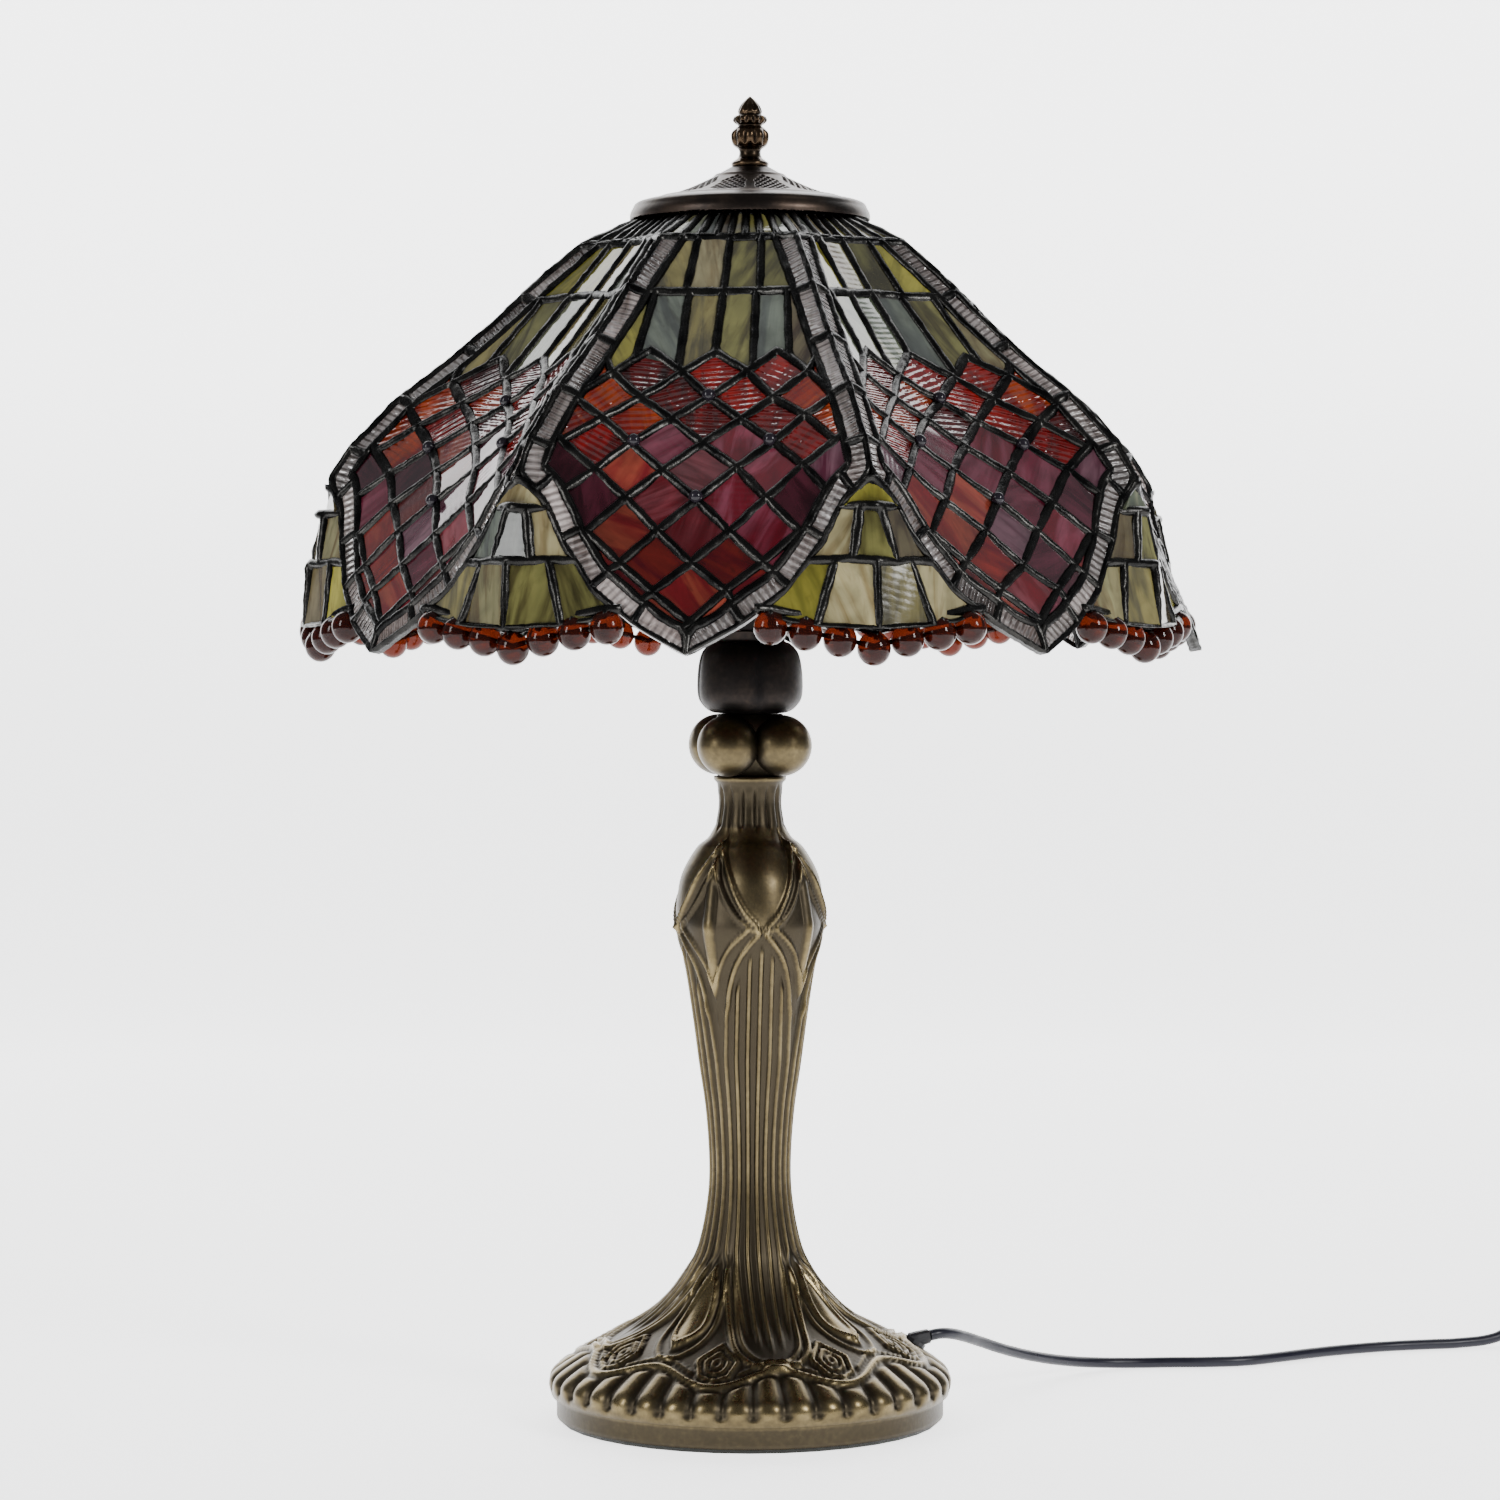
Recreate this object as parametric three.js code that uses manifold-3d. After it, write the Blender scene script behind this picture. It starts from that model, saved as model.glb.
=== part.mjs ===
// A leaded-glass table lamp: a cast column on a weighted foot, a two-light cluster, and a domed
// shade of eight dished petals, eight skirt fans between them and rows of glass beads below.
// Millimetres, +Z up. The origin is the centre of the underside, and the front faces -Y.
import * as THREE from "three";
import { mergeVertices } from "three/addons/utils/BufferGeometryUtils.js";
import Module from "manifold-3d";

const wasm = await Module();
wasm.setup();

// ---- driving dimensions -------------------------------------------------------------------
const GAP = 0.3; // between two pieces that touch
const RUNNING_GAP = 0.4; // round a piece that turns

// Foot and column
const FOOT_RADIUS = 92;
const BAND_RADIUS = 88.8;
const COLUMN_HEIGHT = 295; // underside to the top of the cast neck
const STEM_RADIUS = 18.5;
const TULIP_RADIUS = 34;
const NECK_RADIUS = 15.1;
const CAST_WALL = 4;
const FELT_THICKNESS = 1.5;
const PLATE_THICKNESS = 1.5;
const WEIGHT_THICKNESS = 9;
const ROD_RADIUS = 5;
const ROD_BORE = 3.4;
const NUT_RADIUS = 10;
const NUT_HEIGHT = 5;

// Knobs and vase above the column
const KNOB_COUNT = 4;
const KNOB_RADIUS = 14;
const KNOB_CIRCLE = 17.4;
const KNOB_TURN = -35; // degrees from the front
const VASE_RADIUS = 24;
const VASE_HEIGHT = 38;

// Cluster, lampholders and bulbs
const CLUSTER_RADIUS = 21;
const CLUSTER_HEIGHT = 60;
const HOLDER_RADIUS = 20;
const HOLDER_LENGTH = 52;
const BULB_RADIUS = 30;
const BULB_CAP_RADIUS = 13.2;
const BULB_CAP_LENGTH = 27;
const BULB_LENGTH = 105;

// Shade
const SHADE_RADIUS = 205;
const SHADE_DROP = 197;
const SHADE_RISE = 188; // vase top to the shade's opening
const OPENING_RADIUS = 48;
const GLASS_THICKNESS = 3.6; // glass with its solder seam
const PETAL_COUNT = 8;
const PETAL_TURN = -7.5; // degrees from the front to the first petal's middle
const BEAD_DIAMETER = 14;
const BEAD_SPACING = 0.5;
const BEAD_CIRCLE_INSET = 7; // from the shade's radius to the beads' centres
const ROW_OVERHANG = 0.75; // of a bead's pitch, past the skirt's corners

// Shade fittings
const RING_WIDTH = 5;
const RING_THICKNESS = 3;
const WHEEL_THICKNESS = 2.7;
const WHEEL_HUB_RADIUS = 11;
const RISER_RADIUS = 4.9;
const CAP_RADIUS = 54.7;
const CAP_HEIGHT = 24;
const CAP_WALL = 1.3;
const FINIAL_RADIUS = 8.9;
const FINIAL_HEIGHT = 32;
const STUD_RADIUS = 3;
const STUD_LENGTH = 11;

// Lead, switch and plug
const CORD_DIAMETER = 5.2;
const CORD_SIDES = 8;
const CORD_STEP = 13;
const BUSHING_BORE_WALL = 1.6;
const SWITCH_LENGTH = 58;
const SWITCH_WIDTH = 26;
const SWITCH_HEIGHT = 18;
const ROCKER_LENGTH = 17;
const ROCKER_WIDTH = 11;
const COIL_RADIUS = 29; // to the middle of the turns
const COIL_WIDE = 3; // turns side by side
const COIL_HIGH = 2; // turns on each other
const PLUG_LENGTH = 35;
const PLUG_WIDTH = 13.7;
const PLUG_HEIGHT = 13.7;
const PLUG_RELIEF_LENGTH = 20;
const PIN_DIAMETER = 4.8;
const PIN_LENGTH = 19;
const PIN_SPACING = 18.6;

// ---- places worked out from the sizes ---------------------------------------------------------
const CORD_RADIUS = CORD_DIAMETER / 2;
const KNOB_Z = COLUMN_HEIGHT + GAP + KNOB_RADIUS;
const VASE_Z = KNOB_Z + KNOB_RADIUS + GAP;
const VASE_TOP = VASE_Z + VASE_HEIGHT;
const CLUSTER_Z = VASE_TOP + GAP;
const HOLDER_Z = CLUSTER_Z + CLUSTER_HEIGHT / 2 + 8;
const SHADE_TOP = VASE_TOP + SHADE_RISE;
const RING_Z = SHADE_TOP - RING_THICKNESS;
const RING_OUTER = OPENING_RADIUS - GLASS_THICKNESS - GAP; // inside the sloping glass
const WHEEL_Z = RING_Z - GAP - WHEEL_THICKNESS;
const CAP_Z = SHADE_TOP - 1.1;
const CAP_TOP = CAP_Z + CAP_HEIGHT;
const RISER_Z = CLUSTER_Z + CLUSTER_HEIGHT - 12;
const FINIAL_Z = CAP_TOP + GAP;
const HALF_PITCH = 180 / PETAL_COUNT;

// ---- small helpers --------------------------------------------------------------------------
const lamp = new THREE.Group();
const rad = THREE.MathUtils.degToRad;

function material(color, roughness, metalness) {
  return { color, roughness, metalness };
}

const BRASS = material(0x8a7240, 0.42, 0.9);
const DARK_BRONZE = material(0x3a3430, 0.45, 0.85);
const STEEL = material(0x9a9c9e, 0.4, 0.9);
const IRON = material(0x3c3c3e, 0.7, 0.6);
const FELT = material(0x22261f, 0.95, 0);
const RED_GLASS = material(0x6e1f28, 0.18, 0);
const OLIVE_GLASS = material(0x7d7c5a, 0.2, 0);
const AMBER_GLASS = material(0x8a2c0c, 0.08, 0);
const BULB_GLASS = material(0xf2efe6, 0.3, 0);
const BLACK_PLASTIC = material(0x14151c, 0.4, 0);

function add(name, geometry, finish) {
  const mesh = new THREE.Mesh(geometry, new THREE.MeshStandardMaterial(finish));
  mesh.name = name;
  lamp.add(mesh);
  return mesh;
}

// A turned piece about Z from [radius, height] points, closed on the axis or on itself.
function turned(points, segments) {
  const outline = points.map(([r, z]) => new THREE.Vector2(r, z));
  return new THREE.LatheGeometry(outline, segments).rotateX(Math.PI / 2);
}

// A turned tube wall: the outline goes up the outside, and back down the bore.
function turnedWall(outside, inside, segments) {
  return turned([...outside, ...inside.slice().reverse(), outside[0]], segments);
}

// A flat plate from a shape, from its underside z.
function plate(shape, z, thickness, curveSegments = 12) {
  const settings = { depth: thickness, bevelEnabled: false, curveSegments };
  return new THREE.ExtrudeGeometry(shape, settings).translate(0, 0, z);
}

function circlePath(radius) {
  return new THREE.Path().absarc(0, 0, radius, 0, 2 * Math.PI, true);
}

function solidOf(geometry) {
  const bare = geometry.clone();
  bare.deleteAttribute("normal");
  bare.deleteAttribute("uv");
  const merged = mergeVertices(bare, 1e-4);
  return new wasm.Manifold(
    new wasm.Mesh({
      numProp: 3,
      vertProperties: merged.attributes.position.array,
      triVerts: new Uint32Array(merged.index.array),
    }),
  );
}

function geometryOf(solid) {
  const mesh = solid.getMesh();
  const geometry = new THREE.BufferGeometry();
  geometry.setAttribute("position", new THREE.BufferAttribute(mesh.vertProperties, 3));
  geometry.setIndex(new THREE.BufferAttribute(mesh.triVerts, 1));
  geometry.computeVertexNormals();
  return geometry;
}

// A value read off a line of [at, value] points.
function along(line, at) {
  const next = line.findIndex(([x]) => x >= at);
  if (next === 0) return line[0][1];
  if (next < 0) return line[line.length - 1][1];
  const [[x0, y0], [x1, y1]] = [line[next - 1], line[next]];
  return y0 + ((y1 - y0) * (at - x0)) / (x1 - x0);
}

// A point of the lamp at an azimuth in degrees from the front, anticlockwise seen from above.
function atAzimuth(degrees, radius, z) {
  const a = rad(degrees);
  return new THREE.Vector3(radius * Math.sin(a), -radius * Math.cos(a), z);
}

// ---- foot and column ------------------------------------------------------------------------
// Shares of the column's height, and of the way out from the stem to the foot or the tulip.
const FOOT_LINE = [
  [0.05, 1], [0.07, 0.99], [0.088, 0.91], [0.125, 0.66], [0.163, 0.39],
  [0.2, 0.235], [0.237, 0.13], [0.275, 0.063], [0.34, 0.012], [0.4, 0],
];
const TULIP_LINE = [
  [0.48, 0.1], [0.553, 0.3], [0.628, 0.49], [0.7, 0.7], [0.743, 0.9],
  [0.78, 1], [0.817, 0.9], [0.85, 0.74], [0.888, 0.34],
];
const NECK_LINE = [[0.907, 1.2], [0.94, 1.04], [0.965, 1], [0.99, 1.08], [1, 1.1]];

function columnOutline(wall) {
  const foot = FOOT_LINE.map(([h, share]) => [
    STEM_RADIUS + (FOOT_RADIUS - STEM_RADIUS) * share - wall,
    h * COLUMN_HEIGHT,
  ]);
  const tulip = TULIP_LINE.map(([h, share]) => [
    STEM_RADIUS + (TULIP_RADIUS - STEM_RADIUS) * share - wall,
    h * COLUMN_HEIGHT,
  ]);
  const neck = NECK_LINE.map(([h, share]) => [NECK_RADIUS * share - wall, h * COLUMN_HEIGHT]);
  return { foot, tulip, neck };
}

const CAST_Z = FELT_THICKNESS + GAP;
const BAND_TOP = 0.039 * COLUMN_HEIGHT;
const castOut = columnOutline(0);
const castIn = columnOutline(CAST_WALL);
const BUSHING_DIRECTION = 105; // azimuth of the lead's way out
const BUSHING_RISE = 12; // degrees up, of the lead
const BUSHING_RADIUS = CORD_RADIUS + BUSHING_BORE_WALL;
// The bushing stands square on the foot's slope, halfway down one of its straight stretches.
const [slopeLow, slopeHigh] = [castOut.foot[2], castOut.foot[3]];
const BUSHING_POINT = [0, 1].map((k) => slopeLow[k] + 0.44 * (slopeHigh[k] - slopeLow[k]));
const SLOPE_RISE = THREE.MathUtils.radToDeg(
  Math.atan2(slopeLow[0] - slopeHigh[0], slopeHigh[1] - slopeLow[1]));

// Turns a piece's own +Z out of the foot, rising by an angle, from a point above the slope.
function bushingPlace(geometry, rise, above = 0) {
  const r = BUSHING_POINT[0] + above * Math.cos(rad(SLOPE_RISE));
  const z = BUSHING_POINT[1] + above * Math.sin(rad(SLOPE_RISE));
  const at = atAzimuth(BUSHING_DIRECTION, r, z);
  geometry.rotateX(Math.PI / 2 - rad(rise)).rotateZ(rad(BUSHING_DIRECTION));
  return geometry.translate(at.x, at.y, at.z);
}

const castOutline = [
  [BAND_RADIUS, CAST_Z],
  [BAND_RADIUS, BAND_TOP],
  ...castOut.foot,
  ...castOut.tulip,
  ...castOut.neck,
];
const castBore = [
  [BAND_RADIUS - CAST_WALL, CAST_Z],
  [BAND_RADIUS - CAST_WALL, BAND_TOP],
  ...[1, 2, 3, 4, 6, 9].map((i) => castIn.foot[i]),
  ...[2, 5, 7, 8].map((i) => castIn.tulip[i]),
  ...[0, 2].map((i) => castIn.neck[i]),
  [castIn.neck[2][0], COLUMN_HEIGHT - CAST_WALL],
  [ROD_RADIUS + RUNNING_GAP, COLUMN_HEIGHT - CAST_WALL],
  [ROD_RADIUS + RUNNING_GAP, COLUMN_HEIGHT],
];
const bushingHole = bushingPlace(turned([[0, -14], [BUSHING_RADIUS + GAP, -14],
  [BUSHING_RADIUS + GAP, 20], [0, 20]], 12), SLOPE_RISE);
const casting = solidOf(turnedWall(castOutline, castBore, 28)).subtract(solidOf(bushingHole));
add("base_casting", geometryOf(casting), BRASS);

const INSIDE_RADIUS = BAND_RADIUS - CAST_WALL - 1;
const PLATE_Z = FELT_THICKNESS + GAP;
const WEIGHT_Z = PLATE_Z + PLATE_THICKNESS + GAP;
const NUT_WELL = NUT_RADIUS + 2;
const WEIGHT_RADIUS = 0.8 * BAND_RADIUS;

add("felt_pad", turned([[0, 0], [BAND_RADIUS - 2, 0], [BAND_RADIUS - 2, FELT_THICKNESS],
  [0, FELT_THICKNESS]], 36), FELT);
add("base_plate", turnedWall(
  [[INSIDE_RADIUS, PLATE_Z], [INSIDE_RADIUS, PLATE_Z + PLATE_THICKNESS]],
  [[NUT_WELL, PLATE_Z], [NUT_WELL, PLATE_Z + PLATE_THICKNESS]], 36), STEEL);
add("base_weight", turnedWall(
  [[WEIGHT_RADIUS, WEIGHT_Z], [WEIGHT_RADIUS, WEIGHT_Z + WEIGHT_THICKNESS]],
  [[NUT_WELL, WEIGHT_Z], [NUT_WELL, WEIGHT_Z + WEIGHT_THICKNESS]], 32), IRON);

// The washer bridges the weight's well, and the nut draws the rod down on it.
const WASHER_Z = WEIGHT_Z + WEIGHT_THICKNESS + GAP;
const ROD_WALL = ROD_RADIUS + GAP;
add("rod_washer", turnedWall([[NUT_WELL + 8, WASHER_Z], [NUT_WELL + 8, WASHER_Z + 2]],
  [[ROD_WALL, WASHER_Z], [ROD_WALL, WASHER_Z + 2]], 24), STEEL);

function hexNut(z, bore) {
  const corners = [0, 1, 2, 3, 4, 5].map((i) => new THREE.Vector2(
    NUT_RADIUS * Math.cos((i * Math.PI) / 3), NUT_RADIUS * Math.sin((i * Math.PI) / 3)));
  const shape = new THREE.Shape(corners);
  shape.holes.push(circlePath(bore));
  return plate(shape, z, NUT_HEIGHT, 6);
}
add("base_nut", hexNut(WASHER_Z - GAP - NUT_HEIGHT, ROD_WALL), STEEL);

const ROD_Z = PLATE_Z + GAP;
const ROD_TOP = CLUSTER_Z + 10;
add("threaded_rod", turnedWall([[ROD_RADIUS, ROD_Z], [ROD_RADIUS, ROD_TOP]],
  [[ROD_BORE, ROD_Z], [ROD_BORE, ROD_TOP]], 16), STEEL);

// ---- knobs and vase ---------------------------------------------------------------------------
let knobs = solidOf(turned([[0, -KNOB_RADIUS], [KNOB_RADIUS, -KNOB_RADIUS],
  [KNOB_RADIUS, KNOB_RADIUS], [0, KNOB_RADIUS]], 16).translate(0, 0, KNOB_Z));
for (let i = 0; i < KNOB_COUNT; i++) {
  const at = atAzimuth(KNOB_TURN + (i * 360) / KNOB_COUNT, KNOB_CIRCLE, KNOB_Z);
  const ball = new THREE.SphereGeometry(KNOB_RADIUS - GAP, 12, 8).rotateX(Math.PI / 2);
  knobs = knobs.add(solidOf(ball.translate(at.x, at.y, at.z)));
}
const knobBore = turned([[0, -20], [ROD_WALL, -20], [ROD_WALL, 20], [0, 20]], 16);
knobs = knobs.subtract(solidOf(knobBore.translate(0, 0, KNOB_Z)));
add("knob_ring", geometryOf(knobs), BRASS);

// Shares of the vase's height and radius.
const VASE_LINE = [
  [0, 0.42], [0.02, 0.72], [0.1, 0.9], [0.23, 1], [0.5, 1], [0.72, 0.93], [0.84, 0.78],
  [0.88, 0.66], [1, 0.72],
];
add("vase_cup", turnedWall(
  VASE_LINE.map(([h, share]) => [VASE_RADIUS * share, VASE_Z + VASE_HEIGHT * h]),
  [[ROD_WALL, VASE_Z], [ROD_WALL, VASE_TOP]], 20), DARK_BRONZE);

// ---- cluster, lampholders, bulbs ------------------------------------------------------------------
const NIPPLE_RADIUS = 5;
const wireBore = turned([[0, -1], [NIPPLE_RADIUS + GAP, -1],
  [NIPPLE_RADIUS + GAP, CLUSTER_HEIGHT + 1], [0, CLUSTER_HEIGHT + 1]], 16);
const armBore = turned([[0, -40], [NIPPLE_RADIUS + GAP, -40],
  [NIPPLE_RADIUS + GAP, 40], [0, 40]], 16).rotateY(Math.PI / 2);
const clusterShell = turned([[0, 0], [CLUSTER_RADIUS * 0.8, 0], [CLUSTER_RADIUS, 6],
  [CLUSTER_RADIUS, CLUSTER_HEIGHT - 8], [CLUSTER_RADIUS * 0.5, CLUSTER_HEIGHT],
  [0, CLUSTER_HEIGHT]], 28);
const cluster = solidOf(clusterShell.translate(0, 0, CLUSTER_Z))
  .subtract(solidOf(wireBore.translate(0, 0, CLUSTER_Z)))
  .subtract(solidOf(armBore.translate(0, 0, HOLDER_Z)));
add("cluster_body", geometryOf(cluster), DARK_BRONZE);

const HOLDER_X = CLUSTER_RADIUS + 1.5;
const HOLDER_BORE = BULB_CAP_RADIUS + RUNNING_GAP + 0.6;
const BULB_X = HOLDER_X + HOLDER_LENGTH - BULB_CAP_LENGTH;
const holderOutside = [[NIPPLE_RADIUS + 3, 0], [HOLDER_RADIUS * 0.72, 4],
  [HOLDER_RADIUS, 14], [HOLDER_RADIUS, HOLDER_LENGTH]];
const holderInside = [[NIPPLE_RADIUS + GAP, 0], [NIPPLE_RADIUS + GAP, 10], [HOLDER_BORE, 10],
  [HOLDER_BORE, HOLDER_LENGTH]];
const WAIST = 0.55; // of the bulb's glass, where the neck meets the globe
const bulbGlass = BULB_LENGTH - BULB_CAP_LENGTH - BULB_RADIUS;
const bulbOutline = [[0, 0], [BULB_CAP_RADIUS * 0.6, 1], [BULB_CAP_RADIUS, 5],
  [BULB_CAP_RADIUS, BULB_CAP_LENGTH], [BULB_CAP_RADIUS + 2, BULB_CAP_LENGTH + 4],
  [BULB_RADIUS * 0.72, BULB_CAP_LENGTH + bulbGlass * WAIST],
  [BULB_RADIUS * 0.94, BULB_CAP_LENGTH + bulbGlass * 0.85]];
for (let i = 0; i <= 5; i++) {
  const a = rad(i * 18);
  const z = BULB_CAP_LENGTH + bulbGlass + BULB_RADIUS * Math.sin(a);
  bulbOutline.push([i < 5 ? BULB_RADIUS * Math.cos(a) : 0, z]);
}

for (const [number, side] of [[1, 1], [2, -1]]) {
  const place = (geometry, x) =>
    geometry.rotateY((side * Math.PI) / 2).translate(side * x, 0, HOLDER_Z);
  add(`arm_nipple_${number}`, place(turnedWall(
    [[NIPPLE_RADIUS, 0], [NIPPLE_RADIUS, 14]], [[ROD_BORE, 0], [ROD_BORE, 14]], 12),
    CLUSTER_RADIUS - 8), STEEL);
  add(`lampholder_${number}`, place(turnedWall(holderOutside, holderInside, 18), HOLDER_X),
    BLACK_PLASTIC);
  add(`bulb_${number}`, place(turned(bulbOutline, 14), BULB_X), BULB_GLASS);
}

// ---- riser, wheel, cap and finial ------------------------------------------------------------------
const RISER_TOP = CAP_TOP;
add("riser_rod", turned([[0, RISER_Z], [RISER_RADIUS, RISER_Z], [RISER_RADIUS, RISER_TOP],
  [STUD_RADIUS, RISER_TOP], [STUD_RADIUS, RISER_TOP + STUD_LENGTH],
  [0, RISER_TOP + STUD_LENGTH]], 16), STEEL);

const WHEEL_RADIUS = RING_OUTER - 0.5;
const SPOKES = 3;
const SPOKE_HALF_WIDTH = 4; // degrees at the rim's inside
const RIM_INSIDE = WHEEL_RADIUS - 5;
const wheel = new THREE.Shape().absarc(0, 0, WHEEL_RADIUS, 0, 2 * Math.PI);
for (let i = 0; i < SPOKES; i++) {
  const a0 = rad((i * 360) / SPOKES + SPOKE_HALF_WIDTH);
  const a1 = rad(((i + 1) * 360) / SPOKES - SPOKE_HALF_WIDTH);
  const slack = rad(SPOKE_HALF_WIDTH * 2.2);
  const window = new THREE.Path().absarc(0, 0, RIM_INSIDE, a0, a1, false);
  window.absarc(0, 0, WHEEL_HUB_RADIUS, a1 - slack, a0 + slack, true);
  window.closePath();
  wheel.holes.push(window);
}
wheel.holes.push(circlePath(RISER_RADIUS + GAP));
add("shade_wheel", plate(wheel, WHEEL_Z, WHEEL_THICKNESS, 8), STEEL);
add("wheel_nut", hexNut(WHEEL_Z - GAP - NUT_HEIGHT, RISER_RADIUS + GAP), STEEL);
add("aperture_ring", turnedWall([[RING_OUTER, RING_Z], [RING_OUTER, SHADE_TOP]],
  [[RING_OUTER - RING_WIDTH, RING_Z], [RING_OUTER - RING_WIDTH, SHADE_TOP]], 36), BRASS);

// Shares of the cap's radius and height, from the rim up.
const CAP_LINE = [
  [1, 0], [1, 0.1], [0.978, 0.21], [0.93, 0.33], [0.713, 0.44], [0.552, 0.56],
  [0.442, 0.665], [0.329, 0.79], [0.243, 0.9], [0.165, 1],
];
const capOutside = CAP_LINE.map(([r, h]) => [CAP_RADIUS * r, CAP_Z + CAP_HEIGHT * h]);
const capInside = [[CAP_RADIUS - CAP_WALL, CAP_Z]];
for (const [r, h] of CAP_LINE.slice(3, -1)) {
  capInside.push([CAP_RADIUS * r - CAP_WALL, CAP_Z + CAP_HEIGHT * h - CAP_WALL]);
}
capInside.push([RISER_RADIUS + RUNNING_GAP, CAP_TOP - CAP_WALL * 1.6]);
capInside.push([RISER_RADIUS + RUNNING_GAP, CAP_TOP]);
add("shade_cap", turnedWall(capOutside, capInside, 28), DARK_BRONZE);

// Shares of the finial's radius and height.
const FINIAL_LINE = [
  [1, 0], [0.8, 0.08], [0.64, 0.19], [0.66, 0.25], [0.92, 0.33], [1, 0.43], [0.9, 0.53],
  [0.64, 0.6], [0.8, 0.68], [0.66, 0.77], [0.46, 0.86], [0.3, 0.93], [0, 1],
];
const FINIAL_BORE = STUD_RADIUS + RUNNING_GAP;
const finialBoreTop = FINIAL_Z + STUD_LENGTH + 1;
add("finial", turned([
  ...FINIAL_LINE.map(([r, h]) => [FINIAL_RADIUS * r, FINIAL_Z + FINIAL_HEIGHT * h]).reverse(),
  [FINIAL_BORE, FINIAL_Z],
  [FINIAL_BORE, finialBoreTop],
  [0, finialBoreTop],
].reverse(), 14), DARK_BRONZE);

// ---- shade -------------------------------------------------------------------------------------
// Each line goes down the shade by shares of its drop. The petals' middles are dished, and the
// ridges between them stand proud and become the rounded skirts. Radii are shares of the way
// out from the opening to the rim.
const CENTRE_LINE = [
  [0, 0], [0.067, 0.115], [0.15, 0.205], [0.25, 0.32], [0.34, 0.42], [0.435, 0.534],
  [0.544, 0.656], [0.615, 0.733], [0.667, 0.79], [0.767, 0.87], [0.863, 0.93], [0.944, 0.975],
  [1, 0.997],
];
const RIDGE_LINE = [
  [0, 0], [0.067, 0.19], [0.15, 0.316], [0.25, 0.449], [0.34, 0.583], [0.435, 0.741],
  [0.544, 0.873], [0.615, 0.93], [0.667, 0.96], [0.767, 0.986], [0.863, 0.998], [1, 1],
];
// Shares of the half pitch that a petal takes on each side of its middle.
const PETAL_LINE = [
  [0, 1], [0.615, 1], [0.667, 0.867], [0.767, 0.724], [0.863, 0.538], [0.944, 0.262], [1, 0.03],
];
const DISH_POWER = 2.2;
const CROWN_END = 0.067;
const APEX = 0.63; // where a skirt begins
const CORNER = 0.9; // where a skirt's lower corners meet the petals
const SCALLOP = 9 / 197; // how much lower the middle of a skirt's edge is than its corners
const EDGE_GAP = 0.6; // between neighbouring panels

function shadeRadius(drop, share) {
  const dish = Math.pow(Math.min(1, Math.abs(share)), DISH_POWER);
  const middle = along(CENTRE_LINE, drop);
  const out = middle + (along(RIDGE_LINE, drop) - middle) * dish;
  return OPENING_RADIUS + (SHADE_RADIUS - OPENING_RADIUS) * out;
}

// A point of the shade's outside, or of its inside at the same azimuth.
function shadePoint(drop, share, azimuth, inside) {
  const r = shadeRadius(drop, share);
  const z = SHADE_TOP - SHADE_DROP * drop;
  if (!inside) return atAzimuth(azimuth, r, z);
  const step = 0.02;
  const rise = 2 * step * SHADE_DROP;
  const run = shadeRadius(drop + step, share) - shadeRadius(drop - step, share);
  const slope = Math.hypot(rise, run);
  return atAzimuth(azimuth, r - (GLASS_THICKNESS * rise) / slope,
    z - (GLASS_THICKNESS * run) / slope);
}

// A closed shell from a grid of outside points and inside points, rows down and columns
// anticlockwise. A closed ring joins its last column to its first.
function shell(rows, columns, pointAt, ring = false) {
  const across = ring ? columns : columns + 1;
  const positions = [];
  for (const inside of [false, true]) {
    for (let i = 0; i <= rows; i++) {
      for (let j = 0; j < across; j++) positions.push(...pointAt(i, j, inside).toArray());
    }
  }
  const layer = (rows + 1) * across;
  const id = (i, j, inside) => (inside ? layer : 0) + i * across + (j % across);
  const faces = [];
  const quad = (a, b, c, d) => faces.push(a, b, c, a, c, d);
  for (let i = 0; i < rows; i++) {
    for (let j = 0; j < columns; j++) {
      quad(id(i, j), id(i + 1, j), id(i + 1, j + 1), id(i, j + 1));
      quad(id(i, j, 1), id(i, j + 1, 1), id(i + 1, j + 1, 1), id(i + 1, j, 1));
    }
  }
  for (let j = 0; j < columns; j++) {
    quad(id(0, j), id(0, j + 1), id(0, j + 1, 1), id(0, j, 1));
    quad(id(rows, j), id(rows, j, 1), id(rows, j + 1, 1), id(rows, j + 1));
  }
  for (let i = 0; i < rows && !ring; i++) {
    quad(id(i, 0), id(i, 0, 1), id(i + 1, 0, 1), id(i + 1, 0));
    quad(id(i, columns), id(i + 1, columns), id(i + 1, columns, 1), id(i, columns, 1));
  }
  const geometry = new THREE.BufferGeometry();
  geometry.setAttribute("position", new THREE.Float32BufferAttribute(positions, 3));
  geometry.setIndex(faces);
  geometry.computeVertexNormals();
  return geometry;
}

const CROWN_LEVELS = [0, 0.03, CROWN_END];
const crownColumns = PETAL_COUNT * 6;
add("crown_ring", shell(CROWN_LEVELS.length - 1, crownColumns, (i, j, inside) => {
  const azimuth = PETAL_TURN + (j * 360) / crownColumns;
  const turn = ((j * PETAL_COUNT) / crownColumns + 0.5) % 1;
  return shadePoint(CROWN_LEVELS[i], 2 * turn - 1, azimuth, inside);
}, true), OLIVE_GLASS);

// The angle on the shade that a length takes, in degrees.
const angleOf = (length, drop) =>
  THREE.MathUtils.radToDeg(length / shadeRadius(drop, 1));
const CROWN_GAP = 0.5 / SHADE_DROP;
const PETAL_LEVELS = [CROWN_END + CROWN_GAP, 0.15, 0.25, 0.34, 0.435, 0.544, APEX, 0.667,
  0.767, 0.863, CORNER, 0.944, 1];
const PETAL_COLUMNS = 6;
const SKIRT_LEVELS = [APEX, 0.667, 0.767, 0.863, CORNER];
const SKIRT_COLUMNS = 6;
const SCALLOP_POWER = 0.8;

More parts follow.
